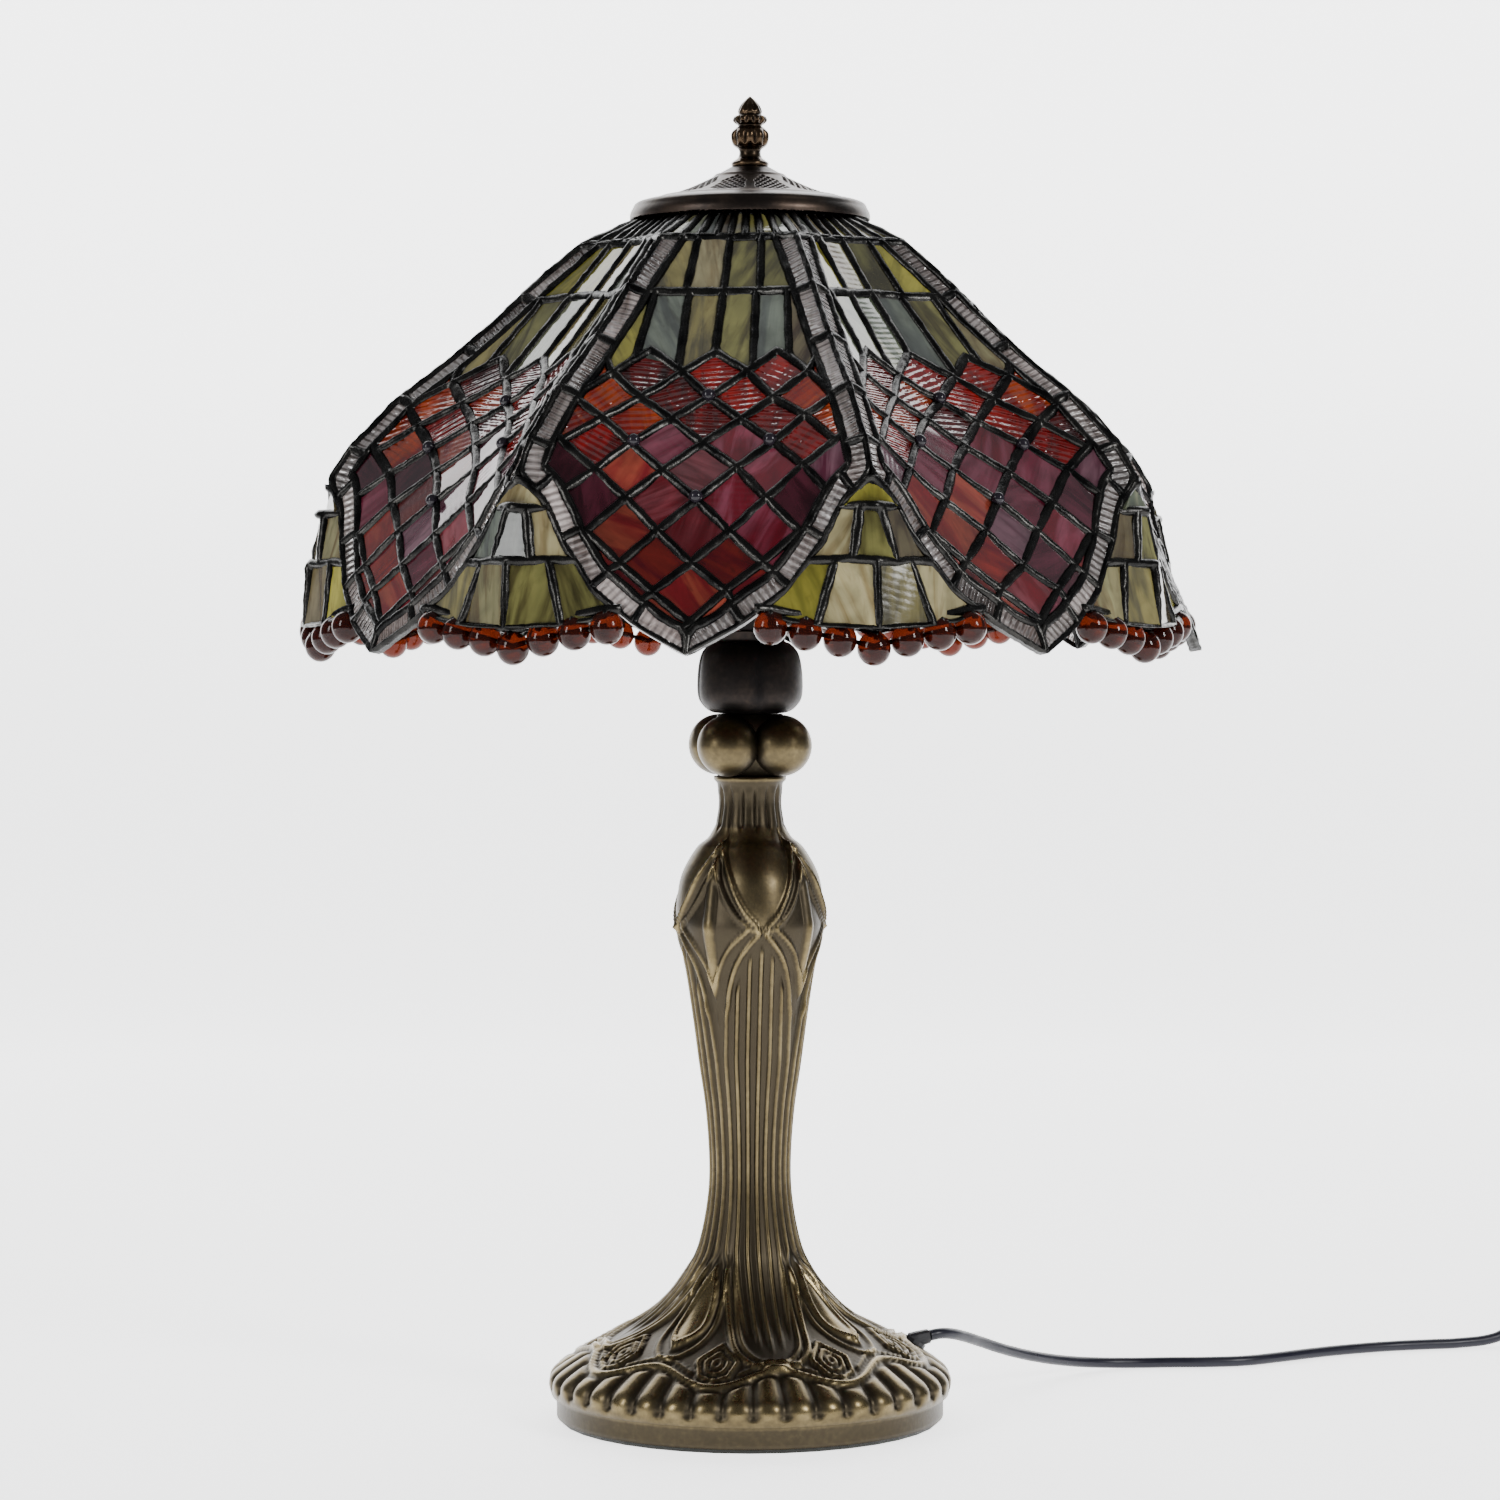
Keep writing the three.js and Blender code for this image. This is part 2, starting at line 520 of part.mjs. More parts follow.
const BEAD_CIRCLE = SHADE_RADIUS - BEAD_CIRCLE_INSET;
const BEAD_PITCH = BEAD_DIAMETER + BEAD_SPACING;
const beadAngle = THREE.MathUtils.radToDeg(BEAD_PITCH / BEAD_CIRCLE);
const cornerShare = along(PETAL_LINE, CORNER);
const rowAngle = 2 * HALF_PITCH * (1 - cornerShare) + beadAngle * ROW_OVERHANG;
const BEADS = Math.floor(rowAngle / beadAngle);
const ROW_PITCH = rad(rowAngle / BEADS) * BEAD_CIRCLE; // the beads share the row's length
const BEAD_SEGMENTS = 6;
const WEB_RADIUS = 0.22 * BEAD_DIAMETER; // the solder between two beads

for (let n = 0; n < PETAL_COUNT; n++) {
  const middle = PETAL_TURN + n * 2 * HALF_PITCH;
  add(`petal_${n + 1}`, shell(PETAL_LEVELS.length - 1, PETAL_COLUMNS, (i, j, inside) => {
    const drop = PETAL_LEVELS[i];
    const side = (2 * j) / PETAL_COLUMNS - 1;
    const half = HALF_PITCH * along(PETAL_LINE, drop) - angleOf(EDGE_GAP / 2, drop) * (i < 12);
    const turn = side * half;
    return shadePoint(drop, turn / HALF_PITCH, middle + turn, inside);
  }), RED_GLASS);

  const skirtMiddle = middle + HALF_PITCH;
  add(`skirt_${n + 1}`, shell(SKIRT_LEVELS.length - 1, SKIRT_COLUMNS, (i, j, inside) => {
    const side = (2 * j) / SKIRT_COLUMNS - 1;
    const half = HALF_PITCH * (1 - along(PETAL_LINE, SKIRT_LEVELS[i]))
      - angleOf(EDGE_GAP / 2, SKIRT_LEVELS[i]);
    const bulge = SCALLOP * (i / (SKIRT_LEVELS.length - 1)) *
      (1 - Math.pow(Math.abs(side), SCALLOP_POWER));
    const turn = side * half;
    const share = 1 - Math.abs(turn) / HALF_PITCH;
    return shadePoint(SKIRT_LEVELS[i] + bulge, share, skirtMiddle + turn, inside);
  }), OLIVE_GLASS);

  // A row of beads in one solder line, bent round the rim under the scalloped edge.
  const row = [[0, -0.5 * ROW_PITCH]];
  for (let bead = 0; bead < BEADS; bead++) {
    const at = bead * ROW_PITCH;
    row.push([WEB_RADIUS, at - 0.5 * ROW_PITCH]);
    row.push([0.5 * BEAD_DIAMETER, at - 0.15 * BEAD_DIAMETER]);
    row.push([0.5 * BEAD_DIAMETER, at + 0.15 * BEAD_DIAMETER]);
  }
  row.push([WEB_RADIUS, (BEADS - 0.5) * ROW_PITCH]);
  row.push([0, (BEADS - 0.5) * ROW_PITCH]);
  const string = new THREE.LatheGeometry(row.map(([r, s]) => new THREE.Vector2(r, s)),
    BEAD_SEGMENTS);
  const bent = string.attributes.position;
  const edgeZ = SHADE_TOP - SHADE_DROP * (CORNER + SCALLOP);
  for (let k = 0; k < bent.count; k++) {
    const s = bent.getY(k) - ((BEADS - 1) / 2) * ROW_PITCH;
    const reach = HALF_PITCH * (1 - cornerShare);
    const turn = THREE.MathUtils.radToDeg(s / BEAD_CIRCLE);
    const rise = SHADE_DROP * SCALLOP * Math.pow(Math.min(1, Math.abs(turn) / reach),
      SCALLOP_POWER);
    const z = edgeZ + rise - BEAD_DIAMETER / 2 - 1.2;
    const p = atAzimuth(skirtMiddle + turn, BEAD_CIRCLE + bent.getX(k), z + bent.getZ(k));
    bent.setXYZ(k, p.x, p.y, p.z);
  }
  add(`bead_row_${n + 1}`, string, AMBER_GLASS);
}

// ---- bushing, lead, switch and plug -------------------------------------------------------------------
const BUSHING_FLANGE = 2.4;
const BUSHING_SHANK = 12;
const RELIEF_LENGTH = 8;
const FLANGE_SEAT = 0.5; // clear of the casting
const FLANGE_TOP = 2.4;
const bushingPlug = turned([[0, -BUSHING_SHANK], [BUSHING_RADIUS, -BUSHING_SHANK],
  [BUSHING_RADIUS, FLANGE_SEAT], [BUSHING_RADIUS + BUSHING_FLANGE, FLANGE_SEAT],
  [BUSHING_RADIUS + BUSHING_FLANGE, FLANGE_TOP], [0, FLANGE_TOP]], 14);
const bushingTaper = turned([[0, -1], [BUSHING_RADIUS - 0.4, -1], [BUSHING_RADIUS - 0.4, 2],
  [CORD_RADIUS + 0.8, RELIEF_LENGTH], [0, RELIEF_LENGTH]], 14);
add("cord_bushing", geometryOf(solidOf(bushingPlace(bushingPlug, SLOPE_RISE))
  .add(solidOf(bushingPlace(bushingTaper, BUSHING_RISE, 1.5)))), BLACK_PLASTIC);

function sweep(points) {
  const path = new THREE.CatmullRomCurve3(points.map((p) => new THREE.Vector3(...p)),
    false, "centripetal");
  const section = new THREE.Shape(Array.from({ length: CORD_SIDES }, (_, i) => {
    const a = (i * 2 * Math.PI) / CORD_SIDES;
    return new THREE.Vector2(CORD_RADIUS * Math.cos(a), CORD_RADIUS * Math.sin(a));
  }));
  const steps = Math.max(2, Math.round(path.getLength() / CORD_STEP));
  return new THREE.ExtrudeGeometry(section, { steps, bevelEnabled: false, extrudePath: path });
}

// The lead rises a little out of the bushing, comes down behind the foot and runs off to the
// right on the table.
const LIE = CORD_RADIUS + 0.1; // height of a cord's middle on the table
const LEAD_TO_SWITCH = [
  [83.6, 22.4, 33.9], [88, 24.1, 34.5], [93, 28.4, 33.8], [100, 38.6, 30.8], [107.7, 52, 26.3],
  [123, 74, 18], [138.5, 92.5, 11.6], [154, 109, 6.8], [169.5, 121, 3.9], [187, 127, LIE],
  [206, 128.5, LIE], [226, 129.5, LIE], [243, 133, LIE], [259, 142, LIE], [275, 152.5, LIE],
  [291, 162, LIE], [308, 170, LIE], [323, 175.5, LIE], [340, 180, LIE], [357, 184.5, LIE],
  [375, 190, LIE + 1.5], [383, 192.3, LIE + 4.4], [391, 194, LIE + 6.2],
];
add("lead_to_switch", sweep(LEAD_TO_SWITCH), BLACK_PLASTIC);

// The switch lies flat, its length turned a little towards the back.
const SWITCH_TURN = 9; // degrees
const SWITCH_AT = [391.4 + SWITCH_LENGTH / 2, 198.6];
const SPLIT_Z = SWITCH_HEIGHT / 2;

function switchOutline(length, width, corner) {
  const shape = new THREE.Shape();
  const x = length / 2;
  const y = width / 2;
  shape.moveTo(-x + corner, -y);
  shape.lineTo(x - corner, -y);
  shape.quadraticCurveTo(x, -y, x, -y + corner);
  shape.lineTo(x, y - corner);
  shape.quadraticCurveTo(x, y, x - corner, y);
  shape.lineTo(-x + corner, y);
  shape.quadraticCurveTo(-x, y, -x, y - corner);
  shape.lineTo(-x, -y + corner);
  shape.quadraticCurveTo(-x, -y, -x + corner, -y);
  return shape;
}

const SWITCH_CORNER = 10;
const atSwitch = (geometry) =>
  geometry.rotateZ(rad(SWITCH_TURN)).translate(SWITCH_AT[0], SWITCH_AT[1], 0);
const boxHole = (length, width) => {
  const x = length / 2;
  const y = width / 2;
  return new THREE.Path([new THREE.Vector2(-x, -y), new THREE.Vector2(-x, y),
    new THREE.Vector2(x, y), new THREE.Vector2(x, -y)]);
};
const FLOOR = 2;
const switchLower = solidOf(plate(switchOutline(SWITCH_LENGTH, SWITCH_WIDTH, SWITCH_CORNER),
  0, SPLIT_Z - GAP / 2, 4)).subtract(solidOf(new THREE.BoxGeometry(
  ROCKER_LENGTH + 8, ROCKER_WIDTH + 4, SPLIT_Z).translate(0, 0, FLOOR + SPLIT_Z / 2)));
add("switch_base", atSwitch(geometryOf(switchLower)), BLACK_PLASTIC);
const upperShape = switchOutline(SWITCH_LENGTH, SWITCH_WIDTH, SWITCH_CORNER);
upperShape.holes.push(boxHole(ROCKER_LENGTH + 2 * RUNNING_GAP, ROCKER_WIDTH + 2 * RUNNING_GAP));
add("switch_cover", atSwitch(plate(upperShape, SPLIT_Z + GAP / 2,
  SWITCH_HEIGHT - SPLIT_Z - GAP / 2, 4)), BLACK_PLASTIC);

// The rocker's top is two flats, so that one end stands proud. It turns about its middle.
const ROCKER_TILT = 6; // degrees to each side
const ROCKER_DEPTH = 7;
const tilt = Math.tan(rad(ROCKER_TILT));
const rockerSide = new THREE.Shape([
  [-ROCKER_LENGTH / 2 + 1, -ROCKER_DEPTH], [ROCKER_LENGTH / 2 - 1, -ROCKER_DEPTH],
  [ROCKER_LENGTH / 2 - 0.6, 1.2 + tilt * ROCKER_LENGTH], [0, 1.2],
  [-ROCKER_LENGTH / 2 + 0.6, 1.2 + tilt * ROCKER_LENGTH],
].map(([x, y]) => new THREE.Vector2(x, y)));
const rocker = new THREE.ExtrudeGeometry(rockerSide, { depth: ROCKER_WIDTH, bevelEnabled: false })
  .translate(0, 0, -ROCKER_WIDTH / 2).rotateX(Math.PI / 2).rotateY(rad(ROCKER_TILT));
add("switch_rocker", atSwitch(rocker.translate(0, 0, SWITCH_HEIGHT - 1.5)), BLACK_PLASTIC);

// The lead goes on from the switch and winds into a flat round coil.
const COIL_CENTRE = [480, 150];
const COIL_HALF = (COIL_WIDE * CORD_DIAMETER) / 2 + 0.2;
const COIL_TOP = COIL_HIGH * CORD_DIAMETER + 0.2;
const END_LEAN = 0.28; // how far a lead's end face leans, for each millimetre of its radius
const SWITCH_END = SWITCH_AT[0] + (SWITCH_LENGTH / 2) * Math.cos(rad(SWITCH_TURN));
const LEAD_TO_COIL = [
  [SWITCH_END + GAP + END_LEAN * CORD_RADIUS, 203.2, LIE + 6.2], [458, 204.3, LIE + 3.8],
  [468, 205.3, LIE + 0.8], [480, 205, LIE], [493, 201, LIE], [504.5, 193, LIE],
  [513, 182, LIE], [518, 169.5, LIE],
];
add("lead_to_coil", sweep(LEAD_TO_COIL), BLACK_PLASTIC);
add("lead_coil", turnedWall(
  [[COIL_RADIUS + COIL_HALF, 0], [COIL_RADIUS + COIL_HALF, COIL_TOP]],
  [[COIL_RADIUS - COIL_HALF, 0], [COIL_RADIUS - COIL_HALF, COIL_TOP]], 28)
  .translate(COIL_CENTRE[0], COIL_CENTRE[1], 0), BLACK_PLASTIC);

const TAIL_Y = COIL_CENTRE[1] - COIL_RADIUS - CORD_DIAMETER;
const PLUG_Z = PLUG_HEIGHT / 2;
const TAIL_START = COIL_CENTRE[0] - 21.4;
const RELIEF_X = TAIL_START - 9;
add("lead_tail", sweep([[TAIL_START, TAIL_Y, 7.6], [TAIL_START - 4, TAIL_Y, 7.4],
  [RELIEF_X + GAP + END_LEAN * CORD_RADIUS, TAIL_Y, PLUG_Z]]), BLACK_PLASTIC);

// The plug lies on its side: a flat body with a tapered strain relief, and two round pins.
const plugAxis = (geometry) => geometry.rotateY(-Math.PI / 2).translate(RELIEF_X, TAIL_Y, PLUG_Z);
const PLUG_BACK = PLUG_WIDTH * 0.42;
const relief = turned([[0, 0], [CORD_RADIUS + 0.8, 0], [PLUG_BACK, PLUG_RELIEF_LENGTH - 1],
  [PLUG_BACK, PLUG_RELIEF_LENGTH + 4], [0, PLUG_RELIEF_LENGTH + 4]], 12);
const PLUG_FRONT = PIN_SPACING + PIN_DIAMETER + 8;
const plugShape = new THREE.Shape();
plugShape.moveTo(-PLUG_BACK - 2, PLUG_RELIEF_LENGTH);
plugShape.quadraticCurveTo(-PLUG_FRONT / 2, PLUG_RELIEF_LENGTH + 4, -PLUG_FRONT / 2,
  PLUG_RELIEF_LENGTH + PLUG_LENGTH * 0.6);
plugShape.lineTo(-PLUG_FRONT / 2, PLUG_RELIEF_LENGTH + PLUG_LENGTH);
plugShape.lineTo(PLUG_FRONT / 2, PLUG_RELIEF_LENGTH + PLUG_LENGTH);
plugShape.lineTo(PLUG_FRONT / 2, PLUG_RELIEF_LENGTH + PLUG_LENGTH * 0.6);
plugShape.quadraticCurveTo(PLUG_FRONT / 2, PLUG_RELIEF_LENGTH + 4, PLUG_BACK + 2,
  PLUG_RELIEF_LENGTH);
// The outline stands along the plug's own length, and its thickness across it.
const plugBody = new THREE.ExtrudeGeometry(plugShape,
  { depth: PLUG_HEIGHT, bevelEnabled: false, curveSegments: 6 })
  .translate(0, 0, -PLUG_HEIGHT / 2).rotateX(Math.PI / 2).rotateZ(Math.PI / 2);
const pinSocket = (side) => turned([[0, 0], [PIN_DIAMETER / 2 + GAP, 0],
  [PIN_DIAMETER / 2 + GAP, 12], [0, 12]], 12)
  .translate(0, (side * PIN_SPACING) / 2, PLUG_RELIEF_LENGTH + PLUG_LENGTH - 10);
const plug = solidOf(relief).add(solidOf(plugBody))
  .subtract(solidOf(pinSocket(1))).subtract(solidOf(pinSocket(-1)));
add("plug_body", plugAxis(geometryOf(plug)), BLACK_PLASTIC);
for (const [number, side] of [[1, 1], [2, -1]]) {
  const start = PLUG_RELIEF_LENGTH + PLUG_LENGTH - 10 + GAP;
  const pin = turned([[0, 0], [PIN_DIAMETER / 2, 0], [PIN_DIAMETER / 2, PIN_LENGTH + 8.5],
    [PIN_DIAMETER / 3, PIN_LENGTH + 9.7], [0, PIN_LENGTH + 9.7]], 10);
  add(`plug_pin_${number}`, plugAxis(pin.translate(0, (side * PIN_SPACING) / 2, start)), STEEL);
}

export default lamp;
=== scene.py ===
# %% [markdown]
# # A leaded-glass table lamp
# A domed shade of cut glass stands on a cast brass-finish column. The shade has eight dished
# petals in reds, fans of olive glass between them and beads along its edge. The sizes and
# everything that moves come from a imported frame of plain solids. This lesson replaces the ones
# that are seen by finer pieces, each riding on the same body, so the lamp still comes apart and
# turns as the frame says.

# %% Load the frame
import math

import bmesh
import bpy
import numpy as np
from mathutils import Matrix, Vector, noise


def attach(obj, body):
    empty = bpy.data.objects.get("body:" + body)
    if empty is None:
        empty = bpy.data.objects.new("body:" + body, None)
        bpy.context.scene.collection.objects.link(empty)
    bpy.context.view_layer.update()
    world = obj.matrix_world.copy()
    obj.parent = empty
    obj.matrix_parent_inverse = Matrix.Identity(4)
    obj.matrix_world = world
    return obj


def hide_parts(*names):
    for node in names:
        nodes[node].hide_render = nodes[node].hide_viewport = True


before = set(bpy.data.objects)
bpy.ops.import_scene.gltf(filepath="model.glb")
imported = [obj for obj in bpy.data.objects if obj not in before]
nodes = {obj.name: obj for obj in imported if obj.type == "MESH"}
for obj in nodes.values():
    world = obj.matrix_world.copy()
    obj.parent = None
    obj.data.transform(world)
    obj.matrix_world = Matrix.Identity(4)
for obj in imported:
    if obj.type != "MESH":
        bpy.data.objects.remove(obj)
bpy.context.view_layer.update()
MM = 0.001

# %% [markdown]
# ## The camera
# The lamp is seen from the front, at a little over half its height, through a long lens. A short
# lens near the lamp would show more of the shade's underside; the long one keeps the column
# straight, and the small tilt down puts the foot's ellipse at the right width.

# %% Camera
CAMERA_DISTANCE = 1.967
CAMERA_HEIGHT = 0.371
SENSOR_MM = 36
FOCAL_MM = SENSOR_MM * 4.3 / 1.5
LOOK_DOWN = math.atan(0.14 / 4.3)

camera_data = bpy.data.cameras.new("camera")
camera_data.sensor_width = SENSOR_MM
camera_data.lens = FOCAL_MM
camera = bpy.data.objects.new("camera", camera_data)
camera.location = (0, -CAMERA_DISTANCE, CAMERA_HEIGHT)
camera.rotation_euler = (math.pi / 2 - LOOK_DOWN, 0, 0)
bpy.context.scene.collection.objects.link(camera)
bpy.context.scene.camera = camera
print("lens", round(camera_data.lens, 1), "mm, looking down", round(math.degrees(LOOK_DOWN), 2),
      "degrees")


# %% [markdown]
# ## Helpers for materials
# Every finish here is a Principled shader with a few nodes in front of it. These helpers keep the
# cells short. Numbers that are the same all over a surface are set on the shader's own sockets, and
# only what changes over the surface gets nodes. `colour` turns display values into linear ones and
# deepens them, because the default view transform makes bright colours paler.

# %% Materials and node helpers
def new_material(name):
    """A material with its Principled shader, ready for nodes."""
    made = bpy.data.materials.new(name)
    made.use_nodes = True
    return made, made.node_tree, made.node_tree.nodes["Principled BSDF"]


def node(tree, kind, **values):
    """A node with its input sockets set by name, and its settings by attribute."""
    made = tree.nodes.new(kind)
    for key, value in values.items():
        if key in made.inputs:
            made.inputs[key].default_value = value
        else:
            setattr(made, key, value)
    return made


def link(tree, output, target):
    tree.links.new(output, target)


def set_constants(shader, **values):
    """Numbers and colours that are the same all over go on the shader's own sockets."""
    for key, value in values.items():
        shader.inputs[key.replace("_", " ")].default_value = value


SATURATION = 1.22


def colour(r, g, b):
    """A deepened linear colour for nodes, from display values of 0 to 255."""
    linear = [(c / 255) ** 2.2 for c in (r, g, b)]
    grey = sum(linear) / 3
    return (*[max(0.0008, grey + (c - grey) * SATURATION) for c in linear], 1.0)


# %% [markdown]
# ## The paper sweep
# Lamps like this are shown on white paper that curves up behind them. A single profile line is
# extruded sideways into the sweep. Lighting the paper with lamps alone would put their reflections
# in every pane, so the paper glows by itself, a little more towards the top.

# %% Floor, backdrop and light
GLOW_HEIGHT, FLOOR_GLOW, HIGH_GLOW = 1.1, 2.15, 3.4
SWEEP = (2.6, -2.3, 1.6, 4.0, 0.6)  # half width, front, back, height and bend


def floor_paper():
    """White paper that glows a little, more so high up, as a brightly lit sweep does."""
    made, tree, shader = new_material("floor_paper")
    set_constants(shader, Roughness=0.7, Emission_Color=(1.0, 1.0, 1.0, 1))
    place = node(tree, "ShaderNodeTexCoord")
    height = node(tree, "ShaderNodeSeparateXYZ")
    link(tree, place.outputs["Object"], height.inputs["Vector"])
    glow = node(tree, "ShaderNodeMapRange", interpolation_type="SMOOTHSTEP")
    glow.inputs["From Max"].default_value = GLOW_HEIGHT
    glow.inputs["To Min"].default_value = FLOOR_GLOW
    glow.inputs["To Max"].default_value = HIGH_GLOW
    link(tree, height.outputs["Z"], glow.inputs["Value"])
    link(tree, glow.outputs["Result"], shader.inputs["Emission Strength"])
    mottle = node(tree, "ShaderNodeTexNoise", Scale=1.7, Detail=3.0)
    link(tree, place.outputs["Object"], mottle.inputs["Vector"])
    tone = node(tree, "ShaderNodeMix", data_type="RGBA")
    tone.inputs["A"].default_value = (0.78, 0.785, 0.8, 1)
    tone.inputs["B"].default_value = (0.9, 0.9, 0.9, 1)
    link(tree, mottle.outputs["Fac"], tone.inputs["Factor"])
    link(tree, tone.outputs["Result"], shader.inputs["Base Color"])
    return made


def studio_floor():
    """A sheet that runs back from the camera and curves up behind the lamp."""
    bm = bmesh.new()
    width, front, back, height, bend = SWEEP
    corner = [bm.verts.new((-width, front, 0)), bm.verts.new((-width, back, 0))]
    for step in range(1, 13):
        a = step / 12 * math.pi / 2
        corner.append(bm.verts.new((-width, back + bend * math.sin(a), bend - bend * math.cos(a))))
    corner.append(bm.verts.new((-width, back + bend, height)))
    edges = [bm.edges.new(pair) for pair in zip(corner, corner[1:])]
    swept = bmesh.ops.extrude_edge_only(bm, edges=edges)["geom"]
    moved = [v for v in swept if isinstance(v, bmesh.types.BMVert)]
    bmesh.ops.translate(bm, verts=moved, vec=(2 * width, 0, 0))
    for face in bm.faces:
        face.smooth = True
    mesh = bpy.data.meshes.new("studio_floor")
    bm.to_mesh(mesh)
    floor = bpy.data.objects.new("studio_floor", mesh)
    floor.data.materials.append(floor_paper())
    bpy.context.scene.collection.objects.link(floor)
    return floor


studio_floor()
print("paper sweep", 2 * SWEEP[0], "m wide and", SWEEP[3], "m high")

# %% [markdown]
# ## The lamps
# Two tall soft lamps stand in front, to the left and the right, as strip boxes do. They give the
# solder and the brass their long highlights. The right one is stronger, so that the round parts
# have a light side and a dark side.

# %% Soft lamps
def soft_lamp(name, place, target, size, power):
    data = bpy.data.lights.new(name, "AREA")
    data.shape = "RECTANGLE"
    data.size, data.size_y = size
    data.energy = power
    lamp = bpy.data.objects.new(name, data)
    lamp.location = place
    lamp.rotation_euler = (Vector(target) - Vector(place)).to_track_quat("-Z", "Y").to_euler()
    bpy.context.scene.collection.objects.link(lamp)


LAMP_MIDDLE = (0, 0, 0.33)
soft_lamp("key_right", (1.7, -1.5, 1.3), LAMP_MIDDLE, (0.5, 0.9), 40)
soft_lamp("fill_left", (-1.7, -1.3, 1.1), LAMP_MIDDLE, (0.5, 1.2), 25)
world = bpy.data.worlds.new("room")
world.use_nodes = True
air = world.node_tree.nodes["Background"]
air.inputs["Color"].default_value = (0.93, 0.96, 1, 1)
air.inputs["Strength"].default_value = 0.3
bpy.context.scene.world = world
print("two soft lamps, aimed at", LAMP_MIDDLE)


# %% [markdown]
# ## Helpers for pieces
# `finished` makes a bmesh a piece of the lamp: it rides on a body, takes the place of the frame's
# solids and gets its material slot. `turned` spins an outline about the lamp's axis, which suits
# everything that was turned or cast in a round mould. Each piece keeps its place in its mesh, and
# its object stays at the origin.

# %% Small helpers for pieces
def finished(name, bm, material, body, smooth=True, stands_for=()):
    """Makes a bmesh a piece of the lamp: named, shaded, coloured and riding on a body."""
    mesh = bpy.data.meshes.new(name)
    for face in bm.faces:
        face.smooth = smooth
    bm.to_mesh(mesh)
    bm.free()
    piece = bpy.data.objects.new(name, mesh)
    bpy.context.scene.collection.objects.link(piece)
    for each in material if isinstance(material, (list, tuple)) else [material]:
        mesh.materials.append(each)
    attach(piece, body)
    if stands_for:
        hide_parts(*([stands_for] if isinstance(stands_for, str) else stands_for))
    return piece


def triangles(piece):
    """How many triangles a piece has."""
    return sum(len(p.vertices) - 2 for p in piece.data.polygons)


def at_azimuth(degrees, radius, z):
    """A point at an azimuth from the front, anticlockwise seen from above."""
    a = math.radians(degrees)
    return Vector((radius * math.sin(a), -radius * math.cos(a), z))


def turned(outline, steps=64):
    """A bmesh turned about Z from (radius, height) points; points on the axis are merged."""
    bm = bmesh.new()
    rim = [bm.verts.new((r, 0, z)) for r, z in outline]
    edges = [bm.edges.new(pair) for pair in zip(rim, rim[1:])]
    bmesh.ops.spin(bm, geom=rim + edges, angle=2 * math.pi, steps=steps, axis=(0, 0, 1),
                   cent=(0, 0, 0), use_merge=True)
    bmesh.ops.remove_doubles(bm, verts=bm.verts[:], dist=1e-6)
    bmesh.ops.recalc_face_normals(bm, faces=bm.faces[:])
    return bm


# %% [markdown]
# ## Black plastic and the lead's sheath
# The switch, the plug and the lampholders are moulded plastic, and the lead is a smooth vinyl
# sheath. Fresh moulded plastic isn't perfectly even: it has a fine grain and a few dull scuffs. One
# node group makes both, and each material sets its own scale and roughness.

# %% Black plastic and cord sheath
def grain_group():
    """Fine moulded grain and a few scuffs: a height and a roughness."""
    group = bpy.data.node_groups.new("moulded_grain", "ShaderNodeTree")
    for name, kind, default in (("Scale", "INPUT", 900.0), ("Roughness", "INPUT", 0.4),
                                ("Height", "OUTPUT", None), ("Surface Roughness", "OUTPUT", None)):
        socket = group.interface.new_socket(name=name, in_out=kind, socket_type="NodeSocketFloat")
        if default is not None:
            socket.default_value = default
    inside, outside = node(group, "NodeGroupInput"), node(group, "NodeGroupOutput")
    place = node(group, "ShaderNodeTexCoord")
    grain = node(group, "ShaderNodeTexNoise", Detail=3.0)
    link(group, place.outputs["Object"], grain.inputs["Vector"])
    link(group, inside.outputs["Scale"], grain.inputs["Scale"])
    scuff = node(group, "ShaderNodeTexNoise", Scale=60.0, Detail=5.0, Roughness=0.7)
    link(group, place.outputs["Object"], scuff.inputs["Vector"])
    spread = node(group, "ShaderNodeMapRange")
    spread.inputs["From Min"].default_value = 0.35
    spread.inputs["From Max"].default_value = 0.75
    spread.inputs["To Min"].default_value = -0.08
    spread.inputs["To Max"].default_value = 0.16
    link(group, scuff.outputs["Fac"], spread.inputs["Value"])
    total = node(group, "ShaderNodeMath", operation="ADD")
    link(group, inside.outputs["Roughness"], total.inputs[0])
    link(group, spread.outputs["Result"], total.inputs[1])
    link(group, grain.outputs["Fac"], outside.inputs["Height"])
    link(group, total.outputs["Value"], outside.inputs["Surface Roughness"])
    return group


GRAIN = grain_group()


def moulded(name, shade, roughness, scale=900.0, depth=0.00004):
    """A moulded plastic or rubber with the shared grain."""
    made, tree, shader = new_material(name)
    set_constants(shader, Base_Color=shade, Specular_IOR_Level=0.28)
    grain = node(tree, "ShaderNodeGroup")
    grain.node_tree = GRAIN
    grain.inputs["Scale"].default_value = scale
    grain.inputs["Roughness"].default_value = roughness
    bump = node(tree, "ShaderNodeBump", Strength=0.5, Distance=depth)
    link(tree, grain.outputs["Height"], bump.inputs["Height"])
    link(tree, grain.outputs["Surface Roughness"], shader.inputs["Roughness"])
    link(tree, bump.outputs["Normal"], shader.inputs["Normal"])
    return made

# %% [markdown]
# The switch and the plug share one plastic. The sheath is darker, faintly blue and finer grained.

# %% Two black finishes
black_plastic = moulded("black_plastic", (0.012, 0.012, 0.014, 1), 0.38)
cord_sheath = moulded("cord_sheath", (0.005, 0.005, 0.012, 1), 0.34, scale=1600.0)
cord_sheath.node_tree.nodes["Principled BSDF"].inputs["Specular IOR Level"].default_value = 0.3

